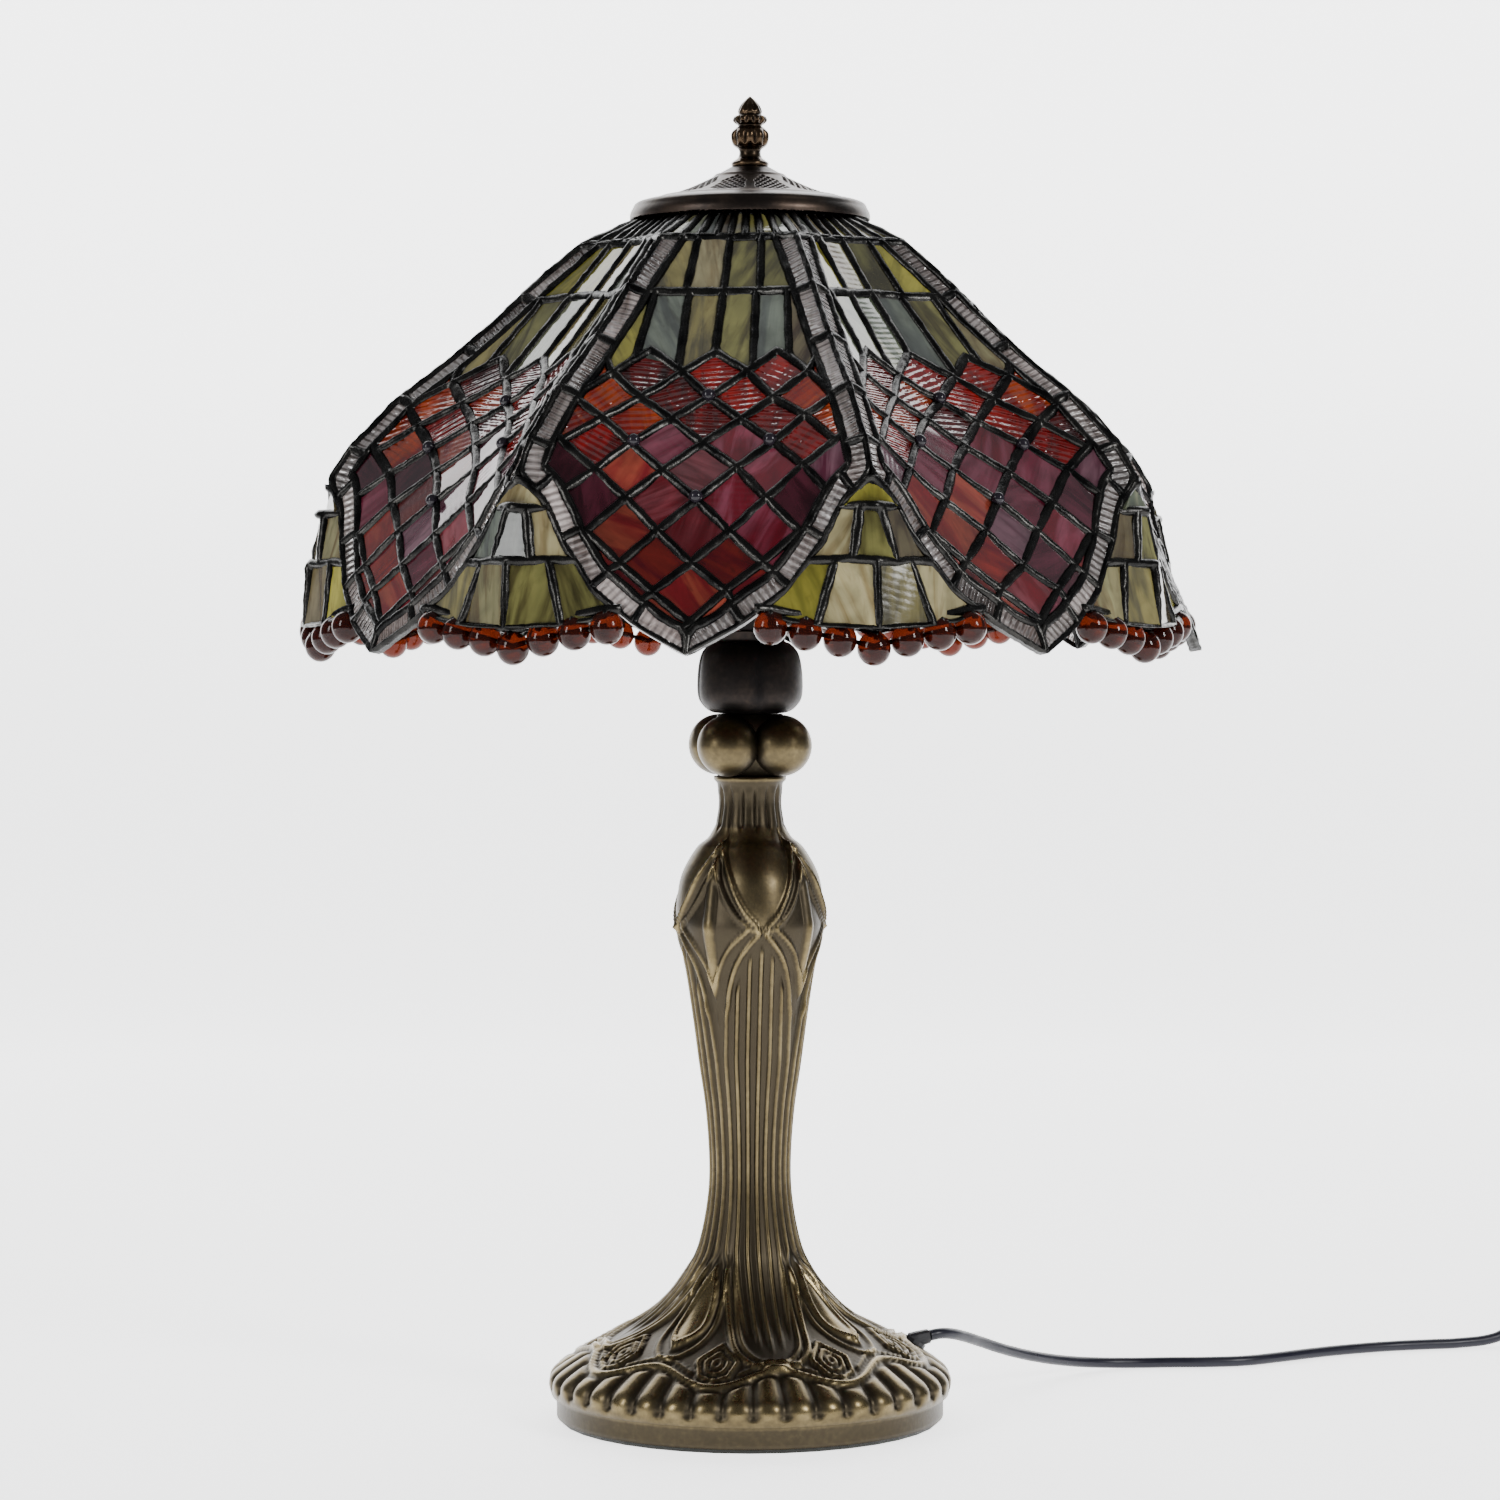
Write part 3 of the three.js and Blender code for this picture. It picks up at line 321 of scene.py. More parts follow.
# %% [markdown]
# ## The lead's route
# The mains lead is a fixed length of round flexible cord. It leaves the grommet straight, comes
# down to the table under its own weight and runs to the switch in loose curves. Its points are
# chosen in millimetres. A simulated cord would come out a little different at every change,
# and these points also have to meet the switch and the plug.

# %% The lead's route
CORD_DIAMETER = 5.2
CORD_RADIUS = CORD_DIAMETER / 2
LIE = CORD_RADIUS + 0.1
LEAD_TO_SWITCH = [
    (83.6, 22.4, 33.9), (88, 24.1, 34.5), (93, 28.4, 33.8), (100, 38.6, 30.8), (107.7, 52, 26.3),
    (123, 74, 18), (138.5, 92.5, 11.6), (154, 109, 6.8), (169.5, 121, 3.9), (187, 127, LIE),
    (206, 128.5, LIE), (226, 129.5, LIE), (243, 133, LIE), (259, 142, LIE), (275, 152.5, LIE),
    (291, 162, LIE), (308, 170, LIE), (323, 175.5, LIE), (340, 180, LIE), (357, 184.5, LIE),
    (375, 190, LIE + 1.5), (383, 192.3, LIE + 4.4), (391, 194, LIE + 6.2),
]
LEAD_TO_COIL = [
    (449.8, 203.2, LIE + 6.2), (458, 204.3, LIE + 3.8), (468, 205.3, LIE + 0.8),
    (480, 205, LIE), (493, 201, LIE), (504.5, 193, LIE), (513, 182, LIE), (518, 169.5, LIE),
]
COIL_CENTRE = (480, 150)
COIL_RADIUS = 29
COIL_POINTS = 24  # for each turn

# %% [markdown]
# ## The coil
# The spare length is wound in a flat coil of two layers: inwards on the table, then outwards on
# top. Each turn is a circle of its own radius and steps over to the next one in its last sixth, as
# a hand-wound coil does. A spiral would leave slanting gaps between the turns.

# %% The coil
def coil_turns():
    """Three turns inwards on the table, and back outwards on top of them to the front."""
    low, high = LIE, LIE + CORD_DIAMETER
    rings = [(COIL_RADIUS + CORD_DIAMETER * k, low) for k in (1, 0, -1)]
    rings += [(COIL_RADIUS + CORD_DIAMETER * k, high) for k in (-1, 0, 1)]
    points = []
    total = 5 * COIL_POINTS + COIL_POINTS // 4
    for step in range(3, total + 1):
        at = step / COIL_POINTS
        ring = min(int(at), len(rings) - 1)
        # Each turn keeps its own circle, and steps over to the next in its last sixth.
        ease = max(0.0, (at - ring - 0.83) / 0.17) if ring + 1 < len(rings) else 0.0
        ease = ease * ease * (3 - 2 * ease)
        r0, z0 = rings[ring]
        r1, z1 = rings[min(ring + 1, len(rings) - 1)]
        a = -2 * math.pi * at
        r = r0 + (r1 - r0) * ease
        points.append((COIL_CENTRE[0] + r * math.cos(a), COIL_CENTRE[1] + r * math.sin(a),
                       z0 + (z1 - z0) * ease))
    return points


TAIL_Y = COIL_CENTRE[1] - COIL_RADIUS - CORD_DIAMETER
PLUG_Z = 6.85
TAIL = [(COIL_CENTRE[0] - 10, TAIL_Y, 8.0), (COIL_CENTRE[0] - 20, TAIL_Y, 7.5),
        (449.9, TAIL_Y, PLUG_Z)]

# %% [markdown]
# ## The lead as a curve
# A bevelled curve is the natural tool for a cord: it keeps a round section on every bend, and its
# length can be measured. `length_of` measures the bare line, without the bevel.

# %% The cord as a curve
def cord_curve(name, points, stands_for):
    """A smooth tube along points in millimetres, as a curve of one open spline."""
    data = bpy.data.curves.new(name, "CURVE")
    data.dimensions = "3D"
    data.bevel_depth = CORD_RADIUS * MM
    data.bevel_resolution = 6
    data.resolution_u = 6
    data.use_fill_caps = True
    spline = data.splines.new("BEZIER")
    spline.bezier_points.add(len(points) - 1)
    for at, point in zip(spline.bezier_points, points):
        at.co = Vector(point) * MM
        at.handle_left_type = at.handle_right_type = "AUTO"
    piece = bpy.data.objects.new(name, data)
    bpy.context.scene.collection.objects.link(piece)
    data.materials.append(cord_sheath)
    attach(piece, "root")
    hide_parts(*stands_for)
    return piece


def length_of(curve):
    """The length of a curve's own line, in metres."""
    bare = bpy.data.objects.new("bare", curve.data.copy())
    bare.data.bevel_depth = 0
    mesh = bpy.data.meshes.new_from_object(bare)
    line = [v.co.copy() for v in mesh.vertices]
    bpy.data.meshes.remove(mesh)
    bpy.data.curves.remove(bare.data)
    return sum((b - a).length for a, b in zip(line, line[1:]))


lead_one = cord_curve("lead_one", LEAD_TO_SWITCH, ["lead_to_switch"])
lead_two = cord_curve("lead_two", LEAD_TO_COIL + coil_turns() + TAIL,
                      ["lead_to_coil", "lead_coil", "lead_tail"])
print("lead to the switch:", length_of(lead_one), "and on to the plug:", length_of(lead_two))


# %% [markdown]
# ## The switch, the plug and the grommet
# These keep the frame's own shapes, which are already right for small plain parts, and only get
# their finishes.

# %% The switch, the plug and the grommet
def paint(names, material):
    for name in names:
        nodes[name].data.materials.clear()
        nodes[name].data.materials.append(material)


steel_bright = moulded("steel_bright", (0.55, 0.55, 0.54, 1), 0.3)
steel_bright.node_tree.nodes["Principled BSDF"].inputs["Metallic"].default_value = 1.0
paint(["switch_base", "switch_cover", "switch_rocker", "plug_body", "cord_bushing",
       "lampholder_1", "lampholder_2"], black_plastic)
paint(["plug_pin_1", "plug_pin_2"], steel_bright)
print("painted the switch, the plug, the grommet and the lampholders")

# %% [markdown]
# ## The tie
# A narrow plastic band with a small head holds the coil together. Its section follows the bundle
# of turns: an inner and an outer ring of points, joined by faces and extruded to the band's width.

# %% The tie
TIE_AT, TIE_WIDTH, TIE_GAP, TIE_THICK = 135.0, 4.5, 0.35, 0.9


def coil_tie():
    """A flat band closed round the coil's turns, with its head on top."""
    low_s, high_s = COIL_RADIUS - 1.5 * CORD_DIAMETER, COIL_RADIUS + 1.5 * CORD_DIAMETER
    top = LIE + 1.5 * CORD_DIAMETER
    bm = bmesh.new()

    def loop(gap, bottom, round_by):
        ends = [(low_s - gap, bottom), (high_s + gap, bottom)]
        for s, turn in ((high_s + gap - round_by, 0), (low_s - gap + round_by, 90)):
            for a in np.radians(np.linspace(turn, turn + 90, 6)):
                ends.append((s + round_by * math.cos(a),
                             top + gap - round_by + round_by * math.sin(a)))
        return [bm.verts.new((s, -TIE_WIDTH / 2, z)) for s, z in ends]

    inner = loop(TIE_GAP, 0.08, 2.2)
    outer = loop(TIE_GAP + TIE_THICK, 0.0, 3.0)
    band = [bm.faces.new((inner[k], inner[k - 1], outer[k - 1], outer[k]))
            for k in range(len(inner))]
    pulled = bmesh.ops.extrude_face_region(bm, geom=band)["geom"]
    bmesh.ops.translate(bm, vec=(0, TIE_WIDTH, 0),
                        verts=[g for g in pulled if isinstance(g, bmesh.types.BMVert)])
    head = bmesh.ops.create_cube(bm, size=1)["verts"]
    bmesh.ops.scale(bm, vec=(6.0, TIE_WIDTH + 1.6, 3.2), verts=head)
    bmesh.ops.translate(bm, vec=(COIL_RADIUS, 0, top + TIE_GAP + TIE_THICK + 1.5), verts=head)
    edges = list({e for v in head for e in v.link_edges})
    bmesh.ops.bevel(bm, geom=edges, offset=0.5, segments=2, profile=0.5, affect="EDGES",
                    material=-1)
    bmesh.ops.recalc_face_normals(bm, faces=bm.faces[:])
    place = Matrix.Translation((*COIL_CENTRE, 0)) @ Matrix.Rotation(math.radians(TIE_AT), 4, "Z")
    bmesh.ops.transform(bm, matrix=Matrix.Scale(MM, 4) @ place, verts=bm.verts[:])
    return bm


tie = finished("coil_tie", coil_tie(), black_plastic, "root", smooth=False)
print("tie round the coil, top at", round(max(v.co.z for v in tie.data.vertices), 4), "m")

# %% What the lead is
round(length_of(lead_one), 3)
round(length_of(lead_two), 3)

# %% [markdown]
# ## The shade's surface
# The shade is a dome of eight petals. Each is dished between two ridges, and below a point on each
# ridge the petals part and show a fan of glass. The radius is interpolated between two profiles,
# one down a petal's middle and one down a ridge.
# 
# Working on the dome directly would be awkward, so every panel is drawn flat: `u` is sideways from
# the panel's middle and `z` is up. `on_shade` bends such a drawing onto the dome, in millimetres.

# %% The dome
PETALS = 8
HALF_PITCH = 22.5  # degrees from a petal's middle to the ridge beside it
PETAL_TURN = -7.5
SHADE_TOP, SHADE_DROP = 549.6, 197.0
OPENING, RIM = 48.0, 205.0
DROPS = [0, 0.067, 0.15, 0.25, 0.34, 0.435, 0.544, 0.615, 0.667, 0.767, 0.863, 0.944, 1]
CENTRE_LINE = [0, 0.115, 0.205, 0.32, 0.42, 0.534, 0.656, 0.733, 0.79, 0.87, 0.93, 0.975, 0.997]
RIDGE_LINE = [0, 0.19, 0.316, 0.449, 0.583, 0.741, 0.873, 0.93, 0.96, 0.986, 0.998, 1, 1]
PETAL_LINE = [1, 1, 1, 1, 1, 1, 1, 1, 0.867, 0.724, 0.538, 0.262, 0]
DISH = 2.2
CROWN_Z, APEX_Z, CORNER_Z = 535.6, 428.4, 372.3

# %% [markdown]
# The bend keeps lengths along each level, so a pane is as wide on the dome as in the drawing. The
# angle is found by a few rounds of correction, since the radius itself depends on the angle.

# %% Bending a drawing onto the dome
def shade_radius(angle, z):
    """The dome's radius at an angle from a petal's middle, in degrees, and a height."""
    drop = (SHADE_TOP - z) / SHADE_DROP
    share = np.abs((angle + HALF_PITCH) % (2 * HALF_PITCH) - HALF_PITCH) / HALF_PITCH
    middle = np.interp(drop, DROPS, CENTRE_LINE)
    ridge = np.interp(drop, DROPS, RIDGE_LINE)
    return OPENING + (RIM - OPENING) * (middle + (ridge - middle) * share ** DISH)


def on_dome(angle, z):
    r = shade_radius(angle, z)
    a = np.radians(angle)
    return np.stack([r * np.sin(a), -r * np.cos(a), z], axis=-1)


def on_shade(u, z, lift, offset=0.0):
    """Points of the drawing on the dome. `offset` turns the drawing's middle, in degrees."""
    u, z = np.asarray(u, float), np.asarray(z, float)
    angle = np.degrees(u / shade_radius(offset, z))
    for _ in range(5):
        angle = np.degrees(u / shade_radius(angle + offset, z))
    angle = angle + offset
    across = on_dome(angle + 0.4, z) - on_dome(angle - 0.4, z)
    down = on_dome(angle, z - 1.5) - on_dome(angle, z + 1.5)
    normal = np.cross(down, across)
    normal /= np.linalg.norm(normal, axis=-1, keepdims=True)
    return on_dome(angle, z) + normal * np.asarray(lift)[..., None]


def half_width(z, edge):
    """From a panel's middle to its edge at a share of the half pitch, along the drawing."""
    return math.radians(HALF_PITCH * edge) * float(shade_radius(HALF_PITCH * edge, z))


def petal_edge(z):
    return float(np.interp((SHADE_TOP - z) / SHADE_DROP, DROPS, PETAL_LINE))


print("the ridge's radius at the fans' corners:",
      round(float(shade_radius(HALF_PITCH, CORNER_Z)), 1), "mm")

# %% [markdown]
# ## The drawing of a petal
# A petal has a lattice of diamonds below, two rows of olive glass above and a border of rippled
# clear glass down both sides to the tip. The lattice runs on whole numbers: a crossing lies
# wherever `i + j` is even, `i` counting sideways and `j` up. In those numbers all its seams are
# straight at 45 degrees, and they only bend when they are placed in the drawing.

# %% The petal's lines
ROW_J = [-6, -4, -3, -2, -1, 0, 1, 2, 3, 4, 5, 6, 8.6, 11.1]
ROW_Z = [345, 366, 378.5, 390.7, 403.9, 417.8, 430.7, 442, 452.6, 461.8, 472.6, 482.7, 510, 535.6]
BORDER = 9.6  # the rippled border, from seam to seam
STRIP_LENGTH = 24.0
SEAM = 2.0  # half of a solder seam's width
SEAM_RISE = 1.1
SEAM_STEP = 2.3  # between points along a seam
SEAM_PROFILE = [(0.32, 0.86), (0.7, 0.42), (1.0, -0.3)]  # share of the width, share of the rise
GLASS_BACK = -3.1
PANE_FACE = -0.45


def cell_width(j):
    return np.interp(j, [0, 6, 11], [15, 14, 9.5])


def to_drawing(i, j):
    return i * cell_width(j), np.interp(j, ROW_J, ROW_Z)


def to_cells(u, z):
    j = np.interp(z, ROW_Z, ROW_J)
    return u / cell_width(j), j

# %% [markdown]
# The outline comes from the dome: a petal is as wide as its share of each level. The border is the
# same line moved inwards, carried on at the top to meet the crown.

# %% The petal's outline
def petal_outline():
    """The right-hand edge and the border's inner edge, from the crown down to the tip."""
    heights = np.concatenate([np.linspace(CROWN_Z, 440, 30), np.linspace(436, 352.7, 46)])
    outer = np.array([(half_width(z, petal_edge(z)), z) for z in heights])
    for _ in range(3):
        outer[1:-1] = (outer[:-2] + 2 * outer[1:-1] + outer[2:]) / 4
    run = np.gradient(outer, axis=0)
    run /= np.linalg.norm(run, axis=1, keepdims=True)
    inner = outer + BORDER * np.stack([run[:, 1], -run[:, 0]], axis=1)
    # The first point is carried on up to the crown, so that no gap is left below it.
    inner[0] += (inner[0] - inner[1]) * (CROWN_Z - inner[0, 1]) / (inner[0, 1] - inner[1, 1])
    keep = inner[:, 0] > 0
    return outer, inner, int(np.argmin(keep)) if not keep.all() else len(inner)

# %% [markdown]
# Panes are cut as a glazier would mark them: one face for the whole field, bisected along one seam
# after another. Drawing each diamond by itself would leave doubled points along every seam.

# %% Cutting panes
def split_face(bm, face, point, normal):
    """Cuts one face along a line and returns the faces it became."""
    geometry = [face, *face.edges, *face.verts]
    cut = bmesh.ops.bisect_plane(bm, geom=geometry, dist=1e-4, plane_co=(*point, 0),
                                 plane_no=(*normal, 0))
    return [g for g in cut["geom"] if isinstance(g, bmesh.types.BMFace)]


def split_all(bm, faces, point, normal):
    made = []
    for face in faces:
        made += split_face(bm, face, point, normal)
    return list(dict.fromkeys(made))

# %% [markdown]
# The panes are faces of one flat mesh, so neighbours share their edges, and each face says what
# kind of glass it is. Slivers are joined to the neighbour they share their longest edge with.

# %% A petal's panes
def petal_drawing():
    """The petal's panes as faces of a flat mesh, each with its kind."""
    outer, inner, last = petal_outline()
    bm = bmesh.new()
    kind = bm.faces.layers.int.new("kind")
    cells = {}

    def vert(u, z):
        i, j = to_cells(u, z)
        key = (round(float(i), 3), round(float(j), 3))
        if key not in cells:
            cells[key] = bm.verts.new((float(i), float(j), 0))
        return cells[key]

    def face(points, value):
        ring = list(dict.fromkeys(vert(u, z) for u, z in points))
        made = bm.faces.new(ring)
        made[kind] = value
        return made

    # The two borders, in lengths with a cut across each.
    gone = np.concatenate([[0], np.cumsum(np.linalg.norm(np.diff(outer, axis=0), axis=1))])
    count = round(gone[-1] / STRIP_LENGTH)
    stations = [int(np.argmin(np.abs(gone - gone[-1] * k / count))) for k in range(count + 1)]
    for side in (1, -1):
        for a, b in zip(stations, stations[1:]):
            inside = [(side * max(u, 0.0), z) for u, z in inner[a:min(b, last) + 1]]
            outside = [(side * u, z) for u, z in outer[a:b + 1]]
            if b >= last:
                inside = [p for p in inside if abs(p[0]) > 0.01] + [(0.0, inner[last - 1][1] - 4)]
            face(outside + inside[::-1], 1)
    # The panel between them, split by the zigzag.
    right = [(u, z) for u, z in inner[:last] if u > 0.01]
    zig_z = float(to_drawing(0, 5.5)[1])
    above = [p for p in right if p[1] > zig_z]
    below = [p for p in right if p[1] <= zig_z]
    zigzag = [tuple(map(float, to_drawing(i, j))) for i, j in
              [(3, 5), (2, 6), (1, 5), (0, 6), (-1, 5), (-2, 6), (-3, 5)]]
    tip = (0.0, inner[last - 1][1] - 4)
    start = above[-1]
    olive = face([*[(-u, z) for u, z in above[::-1]], *above, *zigzag], 2)
    lattice = face([start, *below, tip, *[(-u, z) for u, z in below[::-1]], (-start[0], start[1]),
                    *zigzag[::-1]], 3)
    parts = [lattice]
    for k in range(-8, 10, 2):
        parts = split_all(bm, parts, (k, 0), (1, 1))
        parts = split_all(bm, parts, (k, 0), (1, -1))
    for row in split_face(bm, olive, (0, 8.6), (0, 1)):
        parts = [row]
        cuts = (-2, -1, 0, 1, 2) if row.calc_center_median().y < 8.6 else (-2.1, -1.1, 0, 1.1, 2.1)
        for i in cuts:
            parts = split_all(bm, parts, (i, 0), (1, -0.03 * i))
    for v in bm.verts:
        u, z = to_drawing(v.co.x, v.co.y)
        v.co = (float(u), float(z), 0)
    bmesh.ops.dissolve_degenerate(bm, dist=0.2, edges=bm.edges[:])
    small = [f for f in bm.faces if f.calc_area() < 26]
    for f in small:
        if not f.is_valid:
            continue
        beside = [e for e in f.edges if len(e.link_faces) == 2
                  and e.link_faces[0][kind] == e.link_faces[1][kind]]
        if beside:
            longest = max(beside, key=lambda e: e.calc_length())
            bmesh.utils.face_join(list(longest.link_faces), False)
    return bm

# %% [markdown]
# Between two petals hangs a fan of olive glass: one piece at the point, then two rows cut on lines
# that spread from above, over a scalloped lower edge.

# %% A fan's panes
FAN_UPPER, FAN_LOWER = 413.7, 391.6  # the seams between its rows
FAN_FOOT, FAN_CENTRE = 370, 440  # the lowest seams' ends, and where all of them would meet
SCALLOP = 9  # how far the lower edge hangs


def skirt_drawing():
    """A fan of olive glass: one, then three, then four pieces, over a scalloped edge."""
    bm = bmesh.new()
    kind = bm.faces.layers.int.new("kind")
    heights = np.linspace(APEX_Z - 2, CORNER_Z, 22)
    side = [(math.radians(HALF_PITCH * (1 - petal_edge(z))) * float(shade_radius(HALF_PITCH, z)), z)
            for z in heights]
    corner = side[-1][0]
    edge = [(corner * math.cos(a), CORNER_Z - SCALLOP * math.sin(a) ** 0.8)
            for a in np.linspace(0, math.pi, 15)[1:-1]]
    ring = side + edge + [(-u, z) for u, z in side[::-1]]
    face = bm.faces.new([bm.verts.new((u, z, 0)) for u, z in ring])
    face[kind] = 2
    rows = split_face(bm, face, (0, FAN_UPPER), (0, 1))
    rows = [f for row in rows for f in split_face(bm, row, (0, FAN_LOWER), (0, 1))]
    for row in list(dict.fromkeys(rows)):
        if not row.is_valid:
            continue
        z = row.calc_center_median().y
        shares = [] if z > FAN_UPPER else [-1 / 3, 1 / 3] if z > FAN_LOWER else [-0.5, 0, 0.5]
        parts = [row]
        for share in shares:
            low = FAN_LOWER if len(shares) == 2 else FAN_FOOT
            reach = share * np.interp(low, [p[1] for p in side[::-1]], [p[0] for p in side[::-1]])
            run = Vector((reach, low - FAN_CENTRE)).normalized()
            parts = split_all(bm, parts, (0, FAN_CENTRE), (run.y, -run.x))
    return bm

# %% [markdown]
# Under the cap, narrow upright pieces close the dome.

# %% The crown's panes
def crown_drawing():
    """Narrow upright pieces round the opening, eight to a petal."""
    bm = bmesh.new()
    kind = bm.faces.layers.int.new("kind")
    top, low = SHADE_TOP - 0.5, CROWN_Z
    share = np.linspace(-1, 1, 9)
    ends = [[(float(half_width(z, abs(s)) * np.sign(s)), z) for s in share] for z in (top, low)]
    for k in range(8):
        corners = [ends[0][k], ends[1][k], ends[1][k + 1], ends[0][k + 1]]
        made = bm.faces.new([bm.verts.new((*c, 0)) for c in corners])
        made[kind] = 4
    bmesh.ops.remove_doubles(bm, verts=bm.verts[:], dist=0.01)
    return bm


# %% [markdown]
# ## From a drawing to solder and glass
# In a real shade every piece of glass is edged with copper foil, and the pieces are soldered along
# their seams on both sides. So the seams make one connected net with a rounded top. Insetting every
# pane three times gives the rings of that net with three heights, and what is left inside is glass.

# %% Solder and glass from a drawing
def net_and_panes(bm):
    """Insets every pane three times: the rings become solder, and what is left is glass."""
    for edge in bm.edges[:]:
        a, b = edge.verts
        length = edge.calc_length()
        pieces = max(1, round(length / SEAM_STEP))
        current = edge
        for left in range(pieces, 1, -1):
            _, added = bmesh.utils.edge_split(current, a, 1 / left)
            current = next(e for e in added.link_edges if b in e.verts)
            a = added
    lift = bm.verts.layers.float.new("lift")
    kind = bm.faces.layers.int["kind"]
    for v in bm.verts:
        v[lift] = SEAM_RISE
    faces = bm.faces[:]
    panes = []
    width = 0.0
    for at, (share, rise) in enumerate(SEAM_PROFILE):
        bmesh.ops.inset_individual(bm, faces=faces, thickness=(share - width) * SEAM,
                                   use_even_offset=False)
        width = share
        for f in faces:
            for v in f.verts:
                v[lift] = SEAM_RISE * rise
        if at == 1:
            panes = [(f[kind], [v.co.copy() for v in f.verts]) for f in faces]
    for f in faces:  # rounded corners
        for _ in range(2):
            ring = [v.co.copy() for v in f.verts]
            for k, v in enumerate(f.verts):
                v.co = (ring[k - 1] + 2 * ring[k] + ring[(k + 1) % len(ring)]) / 4
    bmesh.ops.delete(bm, geom=faces, context="FACES_ONLY")
    return panes

# %% [markdown]
# No hand-cut seam is exact. A slow noise moves the crossings, but not the panel's edge, which has
# to meet its neighbours.

# %% Hand-cut seams
def wander(bm, seed, limit):
    """Moves seams off their exact lines, as hand-cut glass does, but never a panel's edge."""
    edge = {v for e in bm.edges if len(e.link_faces) == 1 for v in e.verts}
    for v in bm.verts:
        if v in edge:
            continue
        inside = min(1.0, max(0.0, limit(v.co) / 12))
        near = Vector((v.co.x / 15, v.co.y / 15, seed * 3.7))
        v.co.x += 2.3 * inside * noise.noise(near)
        v.co.y += 2.3 * inside * noise.noise(near + Vector((7, 3, 11)))

# %% [markdown]
# The net gets a back by extruding it, then it is bent onto the dome. Solder sets in small lumps, so
# the crest gets two sizes of noise and the lower edges wander a little.

# %% The net's back and its run solder
def bent_net(bm, offset, seed):
    """Gives the flat net its back, bends it on the dome and roughens it like run solder."""
    lift = bm.verts.layers.float["lift"]
    made = bmesh.ops.extrude_face_region(bm, geom=bm.faces[:])
    back = {g for g in made["geom"] if isinstance(g, bmesh.types.BMVert)}
    rows = bm.verts[:]
    flat = np.array([v.co for v in rows])
    rise = np.array([v[lift] for v in rows])
    rough = np.array([[noise.noise(Vector((*v.co[:2], seed * 9 + k * 5)) * 0.33) for k in (0, 1, 2)]
                      for v in rows])
    fine = np.array([noise.noise(Vector((*v.co[:2], seed * 7 + 3)) * 0.9) for v in rows])
    crest = np.clip(rise, 0, None) / SEAM_RISE
    height = rise + crest * (0.62 * rough[:, 0] + 0.4 * fine)
    is_back = np.array([v in back for v in rows])
    height = np.where(is_back, GLASS_BACK - 0.1 - 0.8 * height, height)
    free = 0.38 * rough[:, 1:] * (crest < 0.9)[:, None]
    bent = on_shade(flat[:, 0] + free[:, 0], flat[:, 1] + free[:, 1], height, offset)
    for v, p in zip(rows, bent):
        v.co = p * MM
    bmesh.ops.recalc_face_normals(bm, faces=bm.faces[:])
    return bm

# %% [markdown]
# Each pane is flat, as sheet glass is: a plane is fitted through its bent outline. Tipping every
# pane by a degree or so makes neighbours catch the light differently, which is most of what says
# leaded glass. The attributes `flow`, `tone` and `streak` carry each pane's own colours to the
# shader, so three materials serve hundreds of panes.

# %% Flat panes
def pane_plane(points):
    """A flat pane through bent points: its middle and its normal."""
    middle = points.mean(axis=0)
    _, _, axes = np.linalg.svd(points - middle)
    normal = axes[2]
    return middle, normal if normal @ (middle * (1, 1, 0)) + 0.3 * normal[2] * 200 > 0 else -normal


def add_pane(bm, layers, flat, offset, look, rng):
    """One pane of cut glass: flat, tipped a little, with its colours and its streaks' run."""
    outline = np.array([p[:2] for p in flat])
    bent = on_shade(outline[:, 0], outline[:, 1], np.full(len(outline), PANE_FACE), offset)
    middle, normal = pane_plane(bent)
    across = np.cross(normal, (0, 0, 1))
    across /= np.linalg.norm(across)
    up = np.cross(across, normal) * -1
    normal = normal + across * rng.normal(0, 0.012) + up * rng.normal(0, 0.014)
    normal /= np.linalg.norm(normal)
    level = bent - np.outer((bent - middle) @ normal, normal)
    face = bm.faces.new([bm.verts.new(p * MM) for p in level])
    face.normal_update()
    if face.normal.dot(Vector(normal)) < 0:
        face.normal_flip()
    face.material_index = look["slot"]
    made = bmesh.ops.extrude_face_region(bm, geom=[face])
    back = [g for g in made["geom"] if isinstance(g, bmesh.types.BMVert)]
    bmesh.ops.translate(bm, verts=back, vec=Vector(normal) * (GLASS_BACK - PANE_FACE) * MM)
    if look["slot"] == CLEAR:  # the ripples lie across a border's run
        _, _, spread = np.linalg.svd(level - middle)
        across, up = spread[0], np.cross(normal, spread[0])
    turn = look["turn"]
    run = across * math.cos(turn) + up * math.sin(turn)
    side = np.cross(normal, run)
    whole = set(face.verts) | set(back)
    for v in whole:
        p = np.array(v.co) / MM - middle
        v[layers["flow"]] = Vector((p @ run, p @ side, look["seed"]))
        v[layers["tone"]] = (*look["tone"], look["cloud"])
        v[layers["streak"]] = (*look["streak"], look["ripple"])
    for g in made["geom"]:
        if isinstance(g, bmesh.types.BMFace):
            g.material_index = look["slot"]


def pane_mesh():
    bm = bmesh.new()
    layers = {"flow": bm.verts.layers.float_vector.new("flow"),
              "tone": bm.verts.layers.float_color.new("tone"),
              "streak": bm.verts.layers.float_color.new("streak")}
    return bm, layers


# %% [markdown]
# ## The glass
# Opalescent glass is milky and streaked, and little light comes through it. It is rolled while
# soft, which draws the colours into streaks. The streaks run along each pane's own direction,
# which the `flow` attribute holds, with a number that differs from pane to pane. Stretched noise
# makes them. An image texture would repeat from pane to pane.

